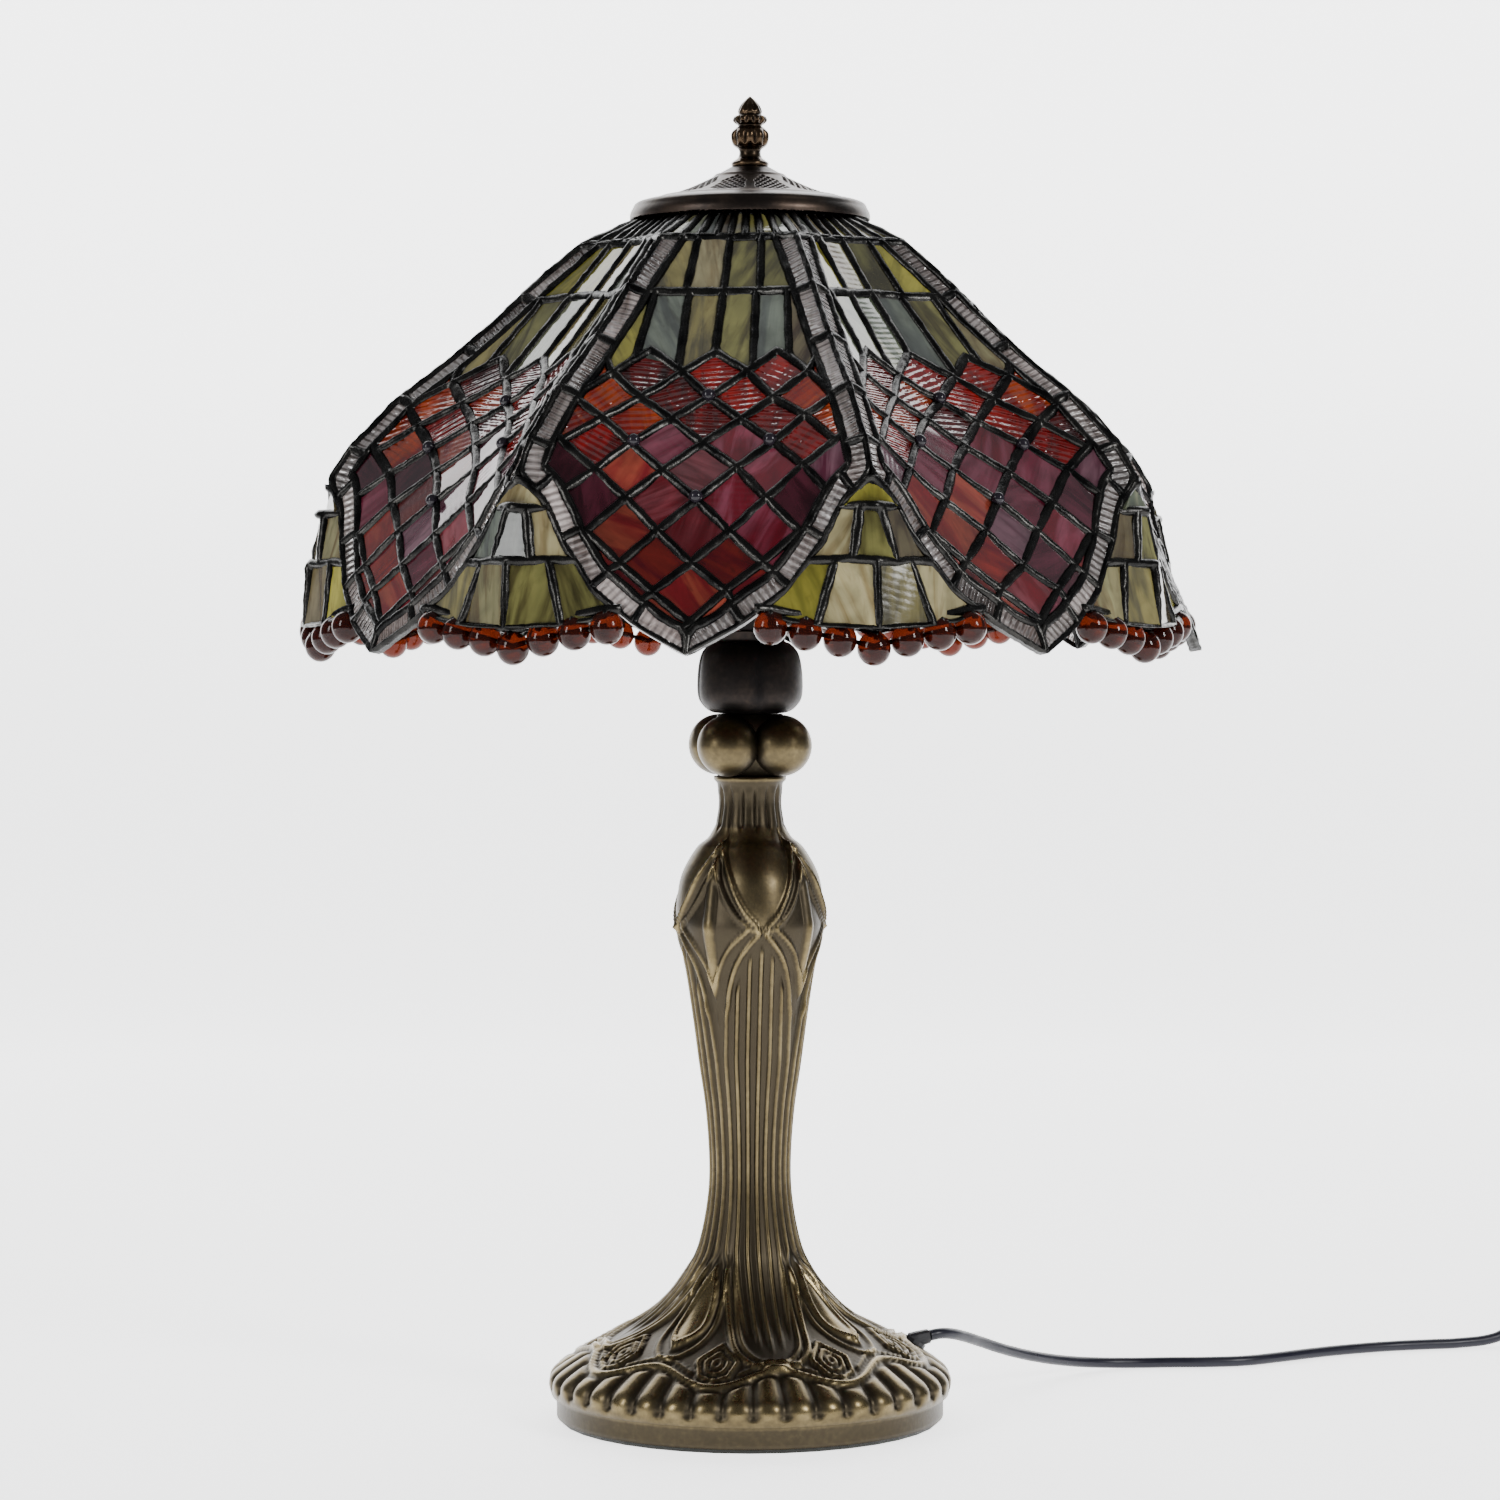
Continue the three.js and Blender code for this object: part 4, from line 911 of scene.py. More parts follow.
# %% Streaked glass
def glass_group():
    """Streaks between two colours, clouds, and the ripple of rolled glass as a height."""
    group = bpy.data.node_groups.new("rolled_glass", "ShaderNodeTree")
    wanted = (("Tone", "INPUT", "NodeSocketColor"), ("Streak", "INPUT", "NodeSocketColor"),
              ("Cloud", "INPUT", "NodeSocketFloat"), ("Ripple", "INPUT", "NodeSocketFloat"),
              ("Flow", "INPUT", "NodeSocketVector"), ("Colour", "OUTPUT", "NodeSocketColor"),
              ("Height", "OUTPUT", "NodeSocketFloat"))
    for name, side, kind in wanted:
        group.interface.new_socket(name=name, in_out=side, socket_type=kind)
    inside, outside = node(group, "NodeGroupInput"), node(group, "NodeGroupOutput")

    def noise_along(scale, stretch, detail, distortion):
        mapping = node(group, "ShaderNodeMapping")
        mapping.inputs["Scale"].default_value = stretch
        link(group, inside.outputs["Flow"], mapping.inputs["Vector"])
        made = node(group, "ShaderNodeTexNoise", Scale=scale, Detail=detail, Distortion=distortion)
        link(group, mapping.outputs["Vector"], made.inputs["Vector"])
        return made.outputs["Fac"]

    def sharpened(value, low, high):
        made = node(group, "ShaderNodeMapRange", interpolation_type="SMOOTHSTEP")
        made.inputs["From Min"].default_value = low
        made.inputs["From Max"].default_value = high
        link(group, value, made.inputs["Value"])
        return made.outputs["Result"]

    streak = sharpened(noise_along(1.0, (0.022, 0.12, 1.0), 3.0, 0.9), 0.38, 0.66)
    wisp = sharpened(noise_along(1.0, (0.05, 0.22, 3.0), 5.0, 1.6), 0.5, 0.78)
    cloud = noise_along(1.0, (0.06, 0.09, 2.0), 3.0, 0.6)
    both = node(group, "ShaderNodeMix", data_type="RGBA")
    link(group, streak, both.inputs["Factor"])
    link(group, inside.outputs["Tone"], both.inputs["A"])
    link(group, inside.outputs["Streak"], both.inputs["B"])
    darker = node(group, "ShaderNodeMath", operation="MULTIPLY")
    link(group, wisp, darker.inputs[0])
    link(group, inside.outputs["Cloud"], darker.inputs[1])
    wisps = node(group, "ShaderNodeMix", data_type="RGBA", blend_type="MULTIPLY")
    wisps.inputs["B"].default_value = (0.34, 0.27, 0.25, 1)
    link(group, darker.outputs["Value"], wisps.inputs["Factor"])
    link(group, both.outputs["Result"], wisps.inputs["A"])
    light = node(group, "ShaderNodeMapRange")
    light.inputs["From Min"].default_value = 0.3
    light.inputs["From Max"].default_value = 0.7
    light.inputs["To Min"].default_value = 0.72
    light.inputs["To Max"].default_value = 1.3
    link(group, cloud, light.inputs["Value"])
    lit = node(group, "ShaderNodeVectorMath", operation="SCALE")
    link(group, wisps.outputs["Result"], lit.inputs[0])
    link(group, light.outputs["Result"], lit.inputs["Scale"])
    link(group, lit.outputs["Vector"], outside.inputs["Colour"])
    # Ripples lie across the flow, wander, and fade in and out.
    wave = node(group, "ShaderNodeTexWave", wave_type="BANDS", bands_direction="X", Scale=0.1,
                Distortion=5.5, Detail=1.0)
    wave.inputs["Detail Scale"].default_value = 0.22
    link(group, inside.outputs["Flow"], wave.inputs["Vector"])
    hammered = noise_along(1.0, (0.3, 0.16, 1.0), 1.0, 0.8)
    rippled = node(group, "ShaderNodeMath", operation="MULTIPLY_ADD")
    link(group, wave.outputs["Fac"], rippled.inputs[0])
    rippled.inputs[1].default_value = 0.7
    link(group, hammered, rippled.inputs[2])
    scaled = node(group, "ShaderNodeMath", operation="MULTIPLY")
    link(group, rippled.outputs["Value"], scaled.inputs[0])
    link(group, inside.outputs["Ripple"], scaled.inputs[1])
    rolled = noise_along(1.0, (0.03, 0.05, 1.0), 1.0, 0.0)
    height = node(group, "ShaderNodeMath", operation="ADD")
    link(group, scaled.outputs["Value"], height.inputs[0])
    link(group, rolled, height.inputs[1])
    link(group, height.outputs["Value"], outside.inputs["Height"])
    return group

# %% [markdown]
# Three materials share the group: plain opalescent glass, rippled red glass, and the clear rippled
# glass of the borders, which lets more light through.

# %% Three kinds of glass
GLASS = glass_group()


def glass_material(name, transmission, roughness, depth, shine=0.34):
    made, tree, shader = new_material(name)
    set_constants(shader, Transmission_Weight=transmission, Roughness=roughness, IOR=1.52,
                  Specular_IOR_Level=shine)
    group = node(tree, "ShaderNodeGroup")
    group.node_tree = GLASS
    tone = node(tree, "ShaderNodeAttribute", attribute_name="tone")
    streak = node(tree, "ShaderNodeAttribute", attribute_name="streak")
    flow = node(tree, "ShaderNodeAttribute", attribute_name="flow")
    link(tree, tone.outputs["Color"], group.inputs["Tone"])
    link(tree, tone.outputs["Alpha"], group.inputs["Cloud"])
    link(tree, streak.outputs["Color"], group.inputs["Streak"])
    link(tree, streak.outputs["Alpha"], group.inputs["Ripple"])
    link(tree, flow.outputs["Vector"], group.inputs["Flow"])
    link(tree, group.outputs["Colour"], shader.inputs["Base Color"])
    bump = node(tree, "ShaderNodeBump", Strength=1.0, Distance=depth)
    link(tree, group.outputs["Height"], bump.inputs["Height"])
    link(tree, bump.outputs["Normal"], shader.inputs["Normal"])
    return made


opal_glass = glass_material("opal_glass", 0.08, 0.09, 0.0005, 0.26)
ripple_red = glass_material("rippled_red_glass", 0.08, 0.08, 0.0006, 0.36)
ripple_clear = glass_material("rippled_clear_glass", 0.3, 0.06, 0.0012, 0.6)
OPAL, RED, CLEAR = 0, 1, 2
GLASSES = [opal_glass, ripple_red, ripple_clear]

# %% [markdown]
# ## The metals
# Solder, brass and bronze all have small lumps, a slow change of tone and specks. One group gives
# the three, and each metal sets its own scale.

# %% Worn metal
def metal_group():
    """Worn metal: lumps and specks as a height, and a slow change of tone."""
    group = bpy.data.node_groups.new("worn_metal", "ShaderNodeTree")
    for name, side, default in (("Scale", "INPUT", 300.0), ("Height", "OUTPUT", None),
                                ("Tone", "OUTPUT", None), ("Specks", "OUTPUT", None)):
        socket = group.interface.new_socket(name=name, in_out=side, socket_type="NodeSocketFloat")
        if default is not None:
            socket.default_value = default
    inside, outside = node(group, "NodeGroupInput"), node(group, "NodeGroupOutput")
    place = node(group, "ShaderNodeTexCoord")
    for output, factor, detail in (("Height", 1.0, 3.0), ("Tone", 0.16, 5.0),
                                   ("Specks", 4.0, 2.0)):
        scale = node(group, "ShaderNodeMath", operation="MULTIPLY")
        link(group, inside.outputs["Scale"], scale.inputs[0])
        scale.inputs[1].default_value = factor
        made = node(group, "ShaderNodeTexNoise", Detail=detail)
        link(group, place.outputs["Object"], made.inputs["Vector"])
        link(group, scale.outputs["Value"], made.inputs["Scale"])
        link(group, made.outputs["Fac"], outside.inputs[output])
    return group

# %% [markdown]
# A patina stays dark in the hollows and is rubbed off the high places. Pieces with relief carry a
# `relief` attribute, and the material mixes towards the dark tone where it is low. The same dark
# tone is also painted shade where `relief` is set low on the foot's band, the vase and the cap's
# diamonds. A shader can't know how deep a place lies, and the script does.

# %% A metal between two tones
METAL = metal_group()


def metal_material(name, low, high, roughness, scale=300.0, depth=0.0003, patina_and_shade_tone=None):
    """Metal between two tones, darker where a `relief` attribute is low, as patina and painted
    shade.
    """
    made, tree, shader = new_material(name)
    set_constants(shader, Metallic=1.0)
    group = node(tree, "ShaderNodeGroup")
    group.node_tree = METAL
    group.inputs["Scale"].default_value = scale
    spread = node(tree, "ShaderNodeMapRange")
    spread.inputs["From Min"].default_value = 0.35
    spread.inputs["From Max"].default_value = 0.65
    link(tree, group.outputs["Tone"], spread.inputs["Value"])
    tone = node(tree, "ShaderNodeMix", data_type="RGBA")
    tone.inputs["A"].default_value = low
    tone.inputs["B"].default_value = high
    link(tree, spread.outputs["Result"], tone.inputs["Factor"])
    base = tone.outputs["Result"]
    rough = node(tree, "ShaderNodeMapRange")
    rough.inputs["To Min"].default_value = roughness * 0.72
    rough.inputs["To Max"].default_value = roughness * 1.4
    link(tree, group.outputs["Specks"], rough.inputs["Value"])
    value = rough.outputs["Result"]
    if patina_and_shade_tone:
        # Where `relief` is low the dark tone goes on: patina in the hollows, and painted shade
        # where relief is set low elsewhere.
        relief = node(tree, "ShaderNodeAttribute", attribute_name="relief")
        hollow = node(tree, "ShaderNodeMath", operation="MULTIPLY_ADD")
        link(tree, group.outputs["Height"], hollow.inputs[0])
        hollow.inputs[1].default_value = 0.3
        link(tree, relief.outputs["Fac"], hollow.inputs[2])
        wear_and_shade = node(tree, "ShaderNodeMapRange", interpolation_type="SMOOTHSTEP")
        wear_and_shade.inputs["From Min"].default_value = 0.3
        wear_and_shade.inputs["From Max"].default_value = 0.95
        link(tree, hollow.outputs["Value"], wear_and_shade.inputs["Value"])
        patina_and_shade_mix = node(tree, "ShaderNodeMix", data_type="RGBA")
        patina_and_shade_mix.inputs["A"].default_value = patina_and_shade_tone
        link(tree, wear_and_shade.outputs["Result"], patina_and_shade_mix.inputs["Factor"])
        link(tree, base, patina_and_shade_mix.inputs["B"])
        base = patina_and_shade_mix.outputs["Result"]
        dull = node(tree, "ShaderNodeMapRange")
        dull.inputs["To Min"].default_value = 0.16
        dull.inputs["To Max"].default_value = 0.0
        link(tree, wear_and_shade.outputs["Result"], dull.inputs["Value"])
        total = node(tree, "ShaderNodeMath", operation="ADD")
        link(tree, value, total.inputs[0])
        link(tree, dull.outputs["Result"], total.inputs[1])
        value = total.outputs["Value"]
    link(tree, base, shader.inputs["Base Color"])
    link(tree, value, shader.inputs["Roughness"])
    bump = node(tree, "ShaderNodeBump", Strength=0.6, Distance=depth)
    link(tree, group.outputs["Height"], bump.inputs["Height"])
    link(tree, bump.outputs["Normal"], shader.inputs["Normal"])
    return made


solder = metal_material("dark_solder", (0.01, 0.01, 0.01, 1), (0.034, 0.033, 0.031, 1), 0.26,
                        scale=500.0)

# %% [markdown]
# ## The colours of the glass
# Olive and grey-green glass is used at the top and in the fans. In the petals the rippled reds and
# oranges come first, and the streaked plum, rose and salmon glass below them. The front petal's
# colours are listed cell by cell. The other petals draw theirs from the same families.

# %% Panes of a petal, a fan and the crown
GLASS_DEPTH = 0.3
OLIVES = [((118, 116, 78), (70, 66, 44)), ((150, 146, 112), (100, 84, 62)),
          ((96, 104, 88), (136, 138, 116)), ((124, 120, 66), (158, 152, 84)),
          ((104, 96, 76), (64, 52, 40)), ((168, 160, 128), (132, 120, 92)),
          ((84, 88, 84), (112, 118, 108)), ((140, 132, 92), (92, 88, 70))]
REDS = {"dark": ((116, 12, 14), (62, 6, 10)), "red": ((148, 20, 14), (96, 10, 10)),
        "flame": ((172, 54, 18), (128, 24, 10)), "orange": ((186, 84, 26), (140, 44, 14))}
ROSES = {"plum": ((64, 24, 36), (98, 50, 62)), "maroon": ((112, 26, 42), (154, 84, 92)),
         "magenta": ((122, 28, 50), (160, 88, 104)), "rose": ((150, 82, 98), (116, 38, 58)),
         "salmon": ((166, 88, 76), (134, 50, 54)), "brown": ((130, 54, 50), (98, 32, 40)),
         "mauve": ((146, 108, 120), (96, 46, 64))}
PATTERN = {(0, 5): "flame", (-2, 5): "dark", (2, 5): "flame", (-3, 6): "red", (3, 6): "orange",
           (-3, 4): "orange", (3, 4): "orange", (-1, 4): "dark", (1, 4): "flame",
           (-2, 3): "orange", (0, 3): "dark", (2, 3): "red", (-4, 3): "orange", (4, 3): "orange",
           (-3, 2): "red", (3, 2): "red", (-1, 2): "rose", (1, 2): "magenta", (-4, 1): "plum",
           (4, 1): "mauve", (-2, 1): "salmon", (0, 1): "maroon", (2, 1): "magenta",
           (-3, 0): "plum", (-1, 0): "maroon", (1, 0): "magenta", (3, 0): "plum",
           (-2, -1): "salmon", (0, -1): "maroon", (2, -1): "magenta", (-1, -2): "brown",
           (1, -2): "brown", (0, -3): "salmon"}

# %% [markdown]
# The look is chosen from where the pane lies in the drawing. Ripples run across the reds at
# changing angles, and the olive streaks stand nearly upright.

# %% The look of one pane
def pick_look(kind, flat, rng, petal):
    """The colours and the streaks of one pane, from where it lies in the drawing."""
    look = {"seed": float(rng.uniform(0, 900)), "turn": float(rng.uniform(-0.5, 0.5)),
            "cloud": 0.55, "ripple": 0.05, "slot": OPAL}
    u, z = np.array([p[:2] for p in flat]).mean(axis=0)
    if kind == 1:
        shade = rng.uniform(0.75, 1.15)
        pair = [tuple(c * shade for c in rgb) for rgb in ((182, 172, 168), (116, 104, 100))]
        look.update(ripple=1.0, slot=CLEAR, cloud=0.3, turn=float(rng.normal(0, 0.12)))
    elif kind == 3:
        i, j = to_cells(u, z)
        cell = min(PATTERN, key=lambda c: (c[0] - i) ** 2 + (c[1] - j) ** 2)
        name = PATTERN[cell]
        if petal and rng.random() < 0.55:
            pool = REDS if name in REDS else ROSES
            name = sorted(pool)[int(rng.integers(len(pool)))]
        pair = (REDS | ROSES)[name]
        if name in REDS:
            look.update(ripple=0.8, slot=RED, cloud=0.5, turn=float(rng.uniform(0.9, 2.2)))
        else:
            look["turn"] = float(rng.uniform(0.2, 2.9))
    else:
        pair = OLIVES[int(rng.integers(len(OLIVES)))]
        look["turn"] = math.pi / 2 + float(rng.uniform(-0.5, 0.5))
        if kind == 4:
            pair = tuple(tuple(0.7 * c + 34 for c in rgb) for rgb in pair)
    gain = rng.uniform(0.86, 1.16)
    depth = GLASS_DEPTH * {1: 1.75, 2: 1.62, 3: 1.0, 4: 1.9}[kind]
    look["tone"] = [depth * c for c in colour(*[c * gain for c in pair[0]])[:3]]
    look["streak"] = [depth * c for c in colour(*[c * gain for c in pair[1]])[:3]]
    return look

# %% [markdown]
# A panel is two pieces: its net of solder and its panes. Both ride on the shade.

# %% A panel
def leaded_panel(name, drawing, offset, seed, stands_for):
    """A panel's solder net and its panes, as two pieces that ride on the shade."""
    rng = np.random.default_rng(seed)
    bm = drawing()
    wander(bm, seed, lambda at: 12 if offset else
           half_width(at.y, petal_edge(at.y)) - BORDER - abs(at.x))
    flat_panes = net_and_panes(bm)
    net = finished(name + "_solder", bent_net(bm, offset, seed), solder, "shade")
    glass_bm, layers = pane_mesh()
    for kind, flat in flat_panes:
        look = pick_look(kind, flat, rng, seed % 10)
        add_pane(glass_bm, layers, flat, offset, look, rng)
    glass = finished(name + "_glass", glass_bm, GLASSES, "shade", smooth=False,
                     stands_for=stands_for)
    return net, glass

# %% [markdown]
# Four crossings of each petal carry a small dark drop of glass.

# %% Dark glass drops on the crossings
def cabochons(n, turn):
    """Small dark beads of glass on four of a petal's crossings."""
    bm = bmesh.new()
    cells = [(0, 0), (-2, 2), (2, 2), (0, 4)]
    places = [to_drawing(i, j) for i, j in cells]
    bent = on_shade([p[0] for p in places], [p[1] for p in places], np.full(4, 0.9))
    for place in bent:
        bmesh.ops.create_uvsphere(bm, u_segments=20, v_segments=12, radius=3.0 * MM,
                                  matrix=Matrix.Translation(Vector(place) * MM))
    bmesh.ops.transform(bm, matrix=turn, verts=bm.verts[:])
    finished(f"cabochons_{n + 1}", bm, black_glass, "shade")

# %% [markdown]
# Each panel is made at the front and turned to its place. The seeds keep the panes the same at
# every run.

# %% All the panels
black_glass = moulded("black_glass", (0.01, 0.008, 0.012, 1), 0.06, depth=0.00001)
CROWN_SEED, SKIRT_SEED = 100, 300
for n in range(PETALS):
    turn = Matrix.Rotation(math.radians(PETAL_TURN + 2 * HALF_PITCH * n), 4, "Z")
    cabochons(n, turn)
    # A seed that ten divides keeps the front petal's colours as they are listed.
    petal_seed = 10 * n + 1 if n else 0
    made = [*leaded_panel(f"petal_{n + 1}", petal_drawing, 0.0, petal_seed, [f"petal_{n + 1}"]),
            *leaded_panel(f"crown_{n + 1}", crown_drawing, 0.0, CROWN_SEED + n, ()),
            *leaded_panel(f"skirt_{n + 1}", skirt_drawing, HALF_PITCH, SKIRT_SEED + n,
                          [f"skirt_{n + 1}"])]
    for piece in made:
        piece.data.transform(turn)
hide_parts("crown_ring")


# %% [markdown]
# ## The beads
# Round amber beads hang in a row under each fan. They are clear deep glass, so the material is
# transmissive with a very dark tint, and the colour shows where the light comes through.

# %% Beads
BEAD_DIAMETER = 14.0
BEAD_PITCH = 14.5
BEAD_CIRCLE = 198.0
BEADS_IN_ROW = 7
ROW_HALF_ANGLE = 13.2  # degrees
BEAD_GAP = 1.2


def bead_glass_material():
    made, tree, shader = new_material("bead_glass")
    set_constants(shader, Transmission_Weight=0.8, Roughness=0.03, IOR=1.3,
                  Specular_IOR_Level=0.3)
    place = node(tree, "ShaderNodeTexCoord")
    cloud = node(tree, "ShaderNodeTexNoise", Scale=120.0, Detail=2.0)
    link(tree, place.outputs["Object"], cloud.inputs["Vector"])
    tone = node(tree, "ShaderNodeMix", data_type="RGBA")
    tone.inputs["A"].default_value = (0.022, 0.002, 0.001, 1)
    tone.inputs["B"].default_value = (0.11, 0.012, 0.002, 1)
    link(tree, cloud.outputs["Fac"], tone.inputs["Factor"])
    link(tree, tone.outputs["Result"], shader.inputs["Base Color"])
    return made


bead_glass = bead_glass_material()

# %% [markdown]
# The row follows the fan's scalloped edge. A bead's number from the middle gives its angle, and the
# angle gives its height.

# %% Where a bead hangs
def bead_place(row_middle, at):
    """A bead's centre, by its number from the middle of its row."""
    turn = math.degrees(at * BEAD_PITCH / BEAD_CIRCLE)
    rise = SCALLOP * min(1.0, abs(turn) / ROW_HALF_ANGLE) ** 0.8
    z = CORNER_Z - SCALLOP + rise - BEAD_DIAMETER / 2 - BEAD_GAP
    return at_azimuth(row_middle + turn, BEAD_CIRCLE, z)

# %% [markdown]
# Solder lines and pins are rods: a small circle extruded from point to point, turned to follow the
# run. A curve with a bevel would do as well, and this one joins straight into the same bmesh.

# %% A rod along points
def tube(bm, points, radius, sides=8):
    """A rounded rod along points, added to a bmesh by extruding a ring of edges."""
    points = [Vector(p) for p in points]
    ring = None
    for k, point in enumerate(points):
        run = (points[min(k + 1, len(points) - 1)] - points[max(k - 1, 0)]).normalized()
        turn = run.to_track_quat("Z", "X").to_matrix().to_4x4()
        if ring is None:
            made = bmesh.ops.create_circle(bm, segments=sides, radius=radius, cap_ends=True,
                                           matrix=Matrix.Translation(point) @ turn)
            ring = made["verts"]
            faces = list({f for v in ring for f in v.link_faces})
            old_point, old_turn = point, turn
            continue
        made = bmesh.ops.extrude_face_region(bm, geom=faces)
        ring = [g for g in made["geom"] if isinstance(g, bmesh.types.BMVert)]
        faces = [g for g in made["geom"] if isinstance(g, bmesh.types.BMFace)]
        before = Matrix.Translation(old_point) @ old_turn
        move = Matrix.Translation(point) @ turn @ before.inverted()
        bmesh.ops.transform(bm, matrix=move, verts=ring)
        old_point, old_turn = point, turn

# %% [markdown]
# Every bead is held by a loop of solder over its top, and one line joins the loops. Noise along the
# normals makes the rods look run rather than drawn.

# %% A row of beads
def bead_row(n):
    row_middle = PETAL_TURN + HALF_PITCH * (2 * n + 1)
    beads, web = bmesh.new(), bmesh.new()
    span = (BEADS_IN_ROW - 1) / 2
    for bead in range(BEADS_IN_ROW):
        place = bead_place(row_middle, bead - span)
        stretch = Matrix.Diagonal((1, 1, 1.04, 1))
        bmesh.ops.create_uvsphere(beads, u_segments=28, v_segments=16, radius=BEAD_DIAMETER / 2,
                                  matrix=Matrix.Translation(place) @ stretch)
        out = Vector((place.x, place.y, 0)).normalized()
        over = [place + out * 5.0 * math.sin(a) + Vector((0, 0, 6.6 * math.cos(a)))
                for a in np.linspace(-0.95, 0.95, 7)]
        tube(web, over, 1.4)
    line = [bead_place(row_middle, at) + Vector((0, 0, 7.3)) for at in
            np.linspace(-span - 0.45, span + 0.45, 40)]
    tube(web, line, 2.3)
    low = [bead_place(row_middle, at) + Vector((0, 0, 0.5)) for at in
           np.linspace(-span, span, 31)]
    tube(web, low, 1.0)
    for v in web.verts:
        v.co += v.normal * 0.35 * noise.noise(v.co * 0.4)
    for each in (beads, web):
        bmesh.ops.scale(each, vec=(MM, MM, MM), verts=each.verts[:])
        bmesh.ops.recalc_face_normals(each, faces=each.faces[:])
    finished(f"beads_{n + 1}", beads, bead_glass, "shade", stands_for=f"bead_row_{n + 1}")
    finished(f"bead_solder_{n + 1}", web, solder, "shade")


for n in range(PETALS):
    bead_row(n)
print(PETALS, "rows of", BEADS_IN_ROW, "beads")

# %% [markdown]
# ## The cast column
# One casting makes the foot, the stem, the tulip and the neck. Its relief could be sculpted, but
# every motif repeats four times round, so it is worked out instead: a fine skin is turned from the
# outline, and a height is found for every point from the motifs' own lines.

# %% The column's outline
COLUMN = 295.0
STEM, FOOT, TULIP, NECK = 18.5, 92.0, 34.0, 15.1
BAND, BAND_TOP = 88.8, 11.5
FOOT_LINE = [(0.05, 1), (0.07, 0.99), (0.088, 0.91), (0.125, 0.66), (0.163, 0.39), (0.2, 0.235),
             (0.237, 0.13), (0.275, 0.063), (0.34, 0.012), (0.4, 0)]
TULIP_LINE = [(0.48, 0.1), (0.553, 0.3), (0.628, 0.49), (0.7, 0.7), (0.743, 0.9), (0.78, 1),
              (0.817, 0.9), (0.85, 0.74), (0.888, 0.34)]
NECK_LINE = [(0.907, 1.2), (0.94, 1.04), (0.965, 1), (0.99, 1.08), (1, 1.1)]
OUTLINE = [(STEM + (FOOT - STEM) * s, h * COLUMN) for h, s in FOOT_LINE]
OUTLINE += [(STEM + (TULIP - STEM) * s, h * COLUMN) for h, s in TULIP_LINE]
OUTLINE += [(NECK * s, h * COLUMN) for h, s in NECK_LINE]
TURNS = 448
RIBS = 7  # to a quarter of the stem
ARCH_AT = 10.0  # degrees, the middle of an arch and of a medallion

# %% [markdown]
# A curve through the chosen radii gives the outline, with its points spread evenly, so the relief
# is as fine on the foot as on the stem.

# %% A smooth outline
def smooth_outline(points, count):
    """A Catmull-Rom curve through (r, z) points, even along its length."""
    at = np.array(points)
    ends = np.vstack([2 * at[0] - at[1], at, 2 * at[-1] - at[-2]])
    fine = []
    for k in range(len(at) - 1):
        p0, p1, p2, p3 = ends[k:k + 4]
        for t in np.linspace(0, 1, 12, endpoint=False):
            fine.append(0.5 * (2 * p1 + (p2 - p0) * t + (2 * p0 - 5 * p1 + 4 * p2 - p3) * t * t
                               + (3 * p1 - p0 - 3 * p2 + p3) * t ** 3))
    fine = np.vstack([fine, at[-1]])
    gone = np.concatenate([[0], np.cumsum(np.linalg.norm(np.diff(fine, axis=0), axis=1))])
    want = np.linspace(0, gone[-1], count)
    return np.stack([np.interp(want, gone, fine[:, k]) for k in (0, 1)], axis=1)


SKIN = smooth_outline(OUTLINE, 205)
print("points on the column's outline:", len(SKIN))

# %% [markdown]
# All the relief is made from a few shapes: the distance to a line, a rounded ridge along it and a
# soft step. Distances are in millimetres on the surface, so a line is as wide at the foot as at the
# stem.

# %% Lines of relief
def to_line(x, y, points):
    """Distance from points (x, y) to a broken line, and where along it the nearest place is."""
    best = np.full(x.shape, 1e9)
    along = np.zeros(x.shape)
    total = 0.0
    points = np.asarray(points, float)
    for (ax, ay), (bx, by) in zip(points, points[1:]):
        dx, dy = bx - ax, by - ay
        size = math.hypot(dx, dy)
        t = np.clip(((x - ax) * dx + (y - ay) * dy) / size ** 2, 0, 1)
        far = np.hypot(x - ax - t * dx, y - ay - t * dy)
        nearer = far < best
        best = np.where(nearer, far, best)
        along = np.where(nearer, total + t * size, along)
        total += size
    return best, along / total


def ridge(distance, width, height):
    """A rounded raised line."""
    return height * np.clip(1 - (distance / width) ** 2, 0, None) ** 0.8


def step(value, low, high):
    t = np.clip((value - low) / (high - low), 0, 1)
    return t * t * (3 - 2 * t)


def curve(points, count=24):
    return smooth_outline(points, count)

# %% [markdown]
# The tulip has a smooth swollen medallion on each side, framed by two running lines, with a sharp
# keel between the medallions.

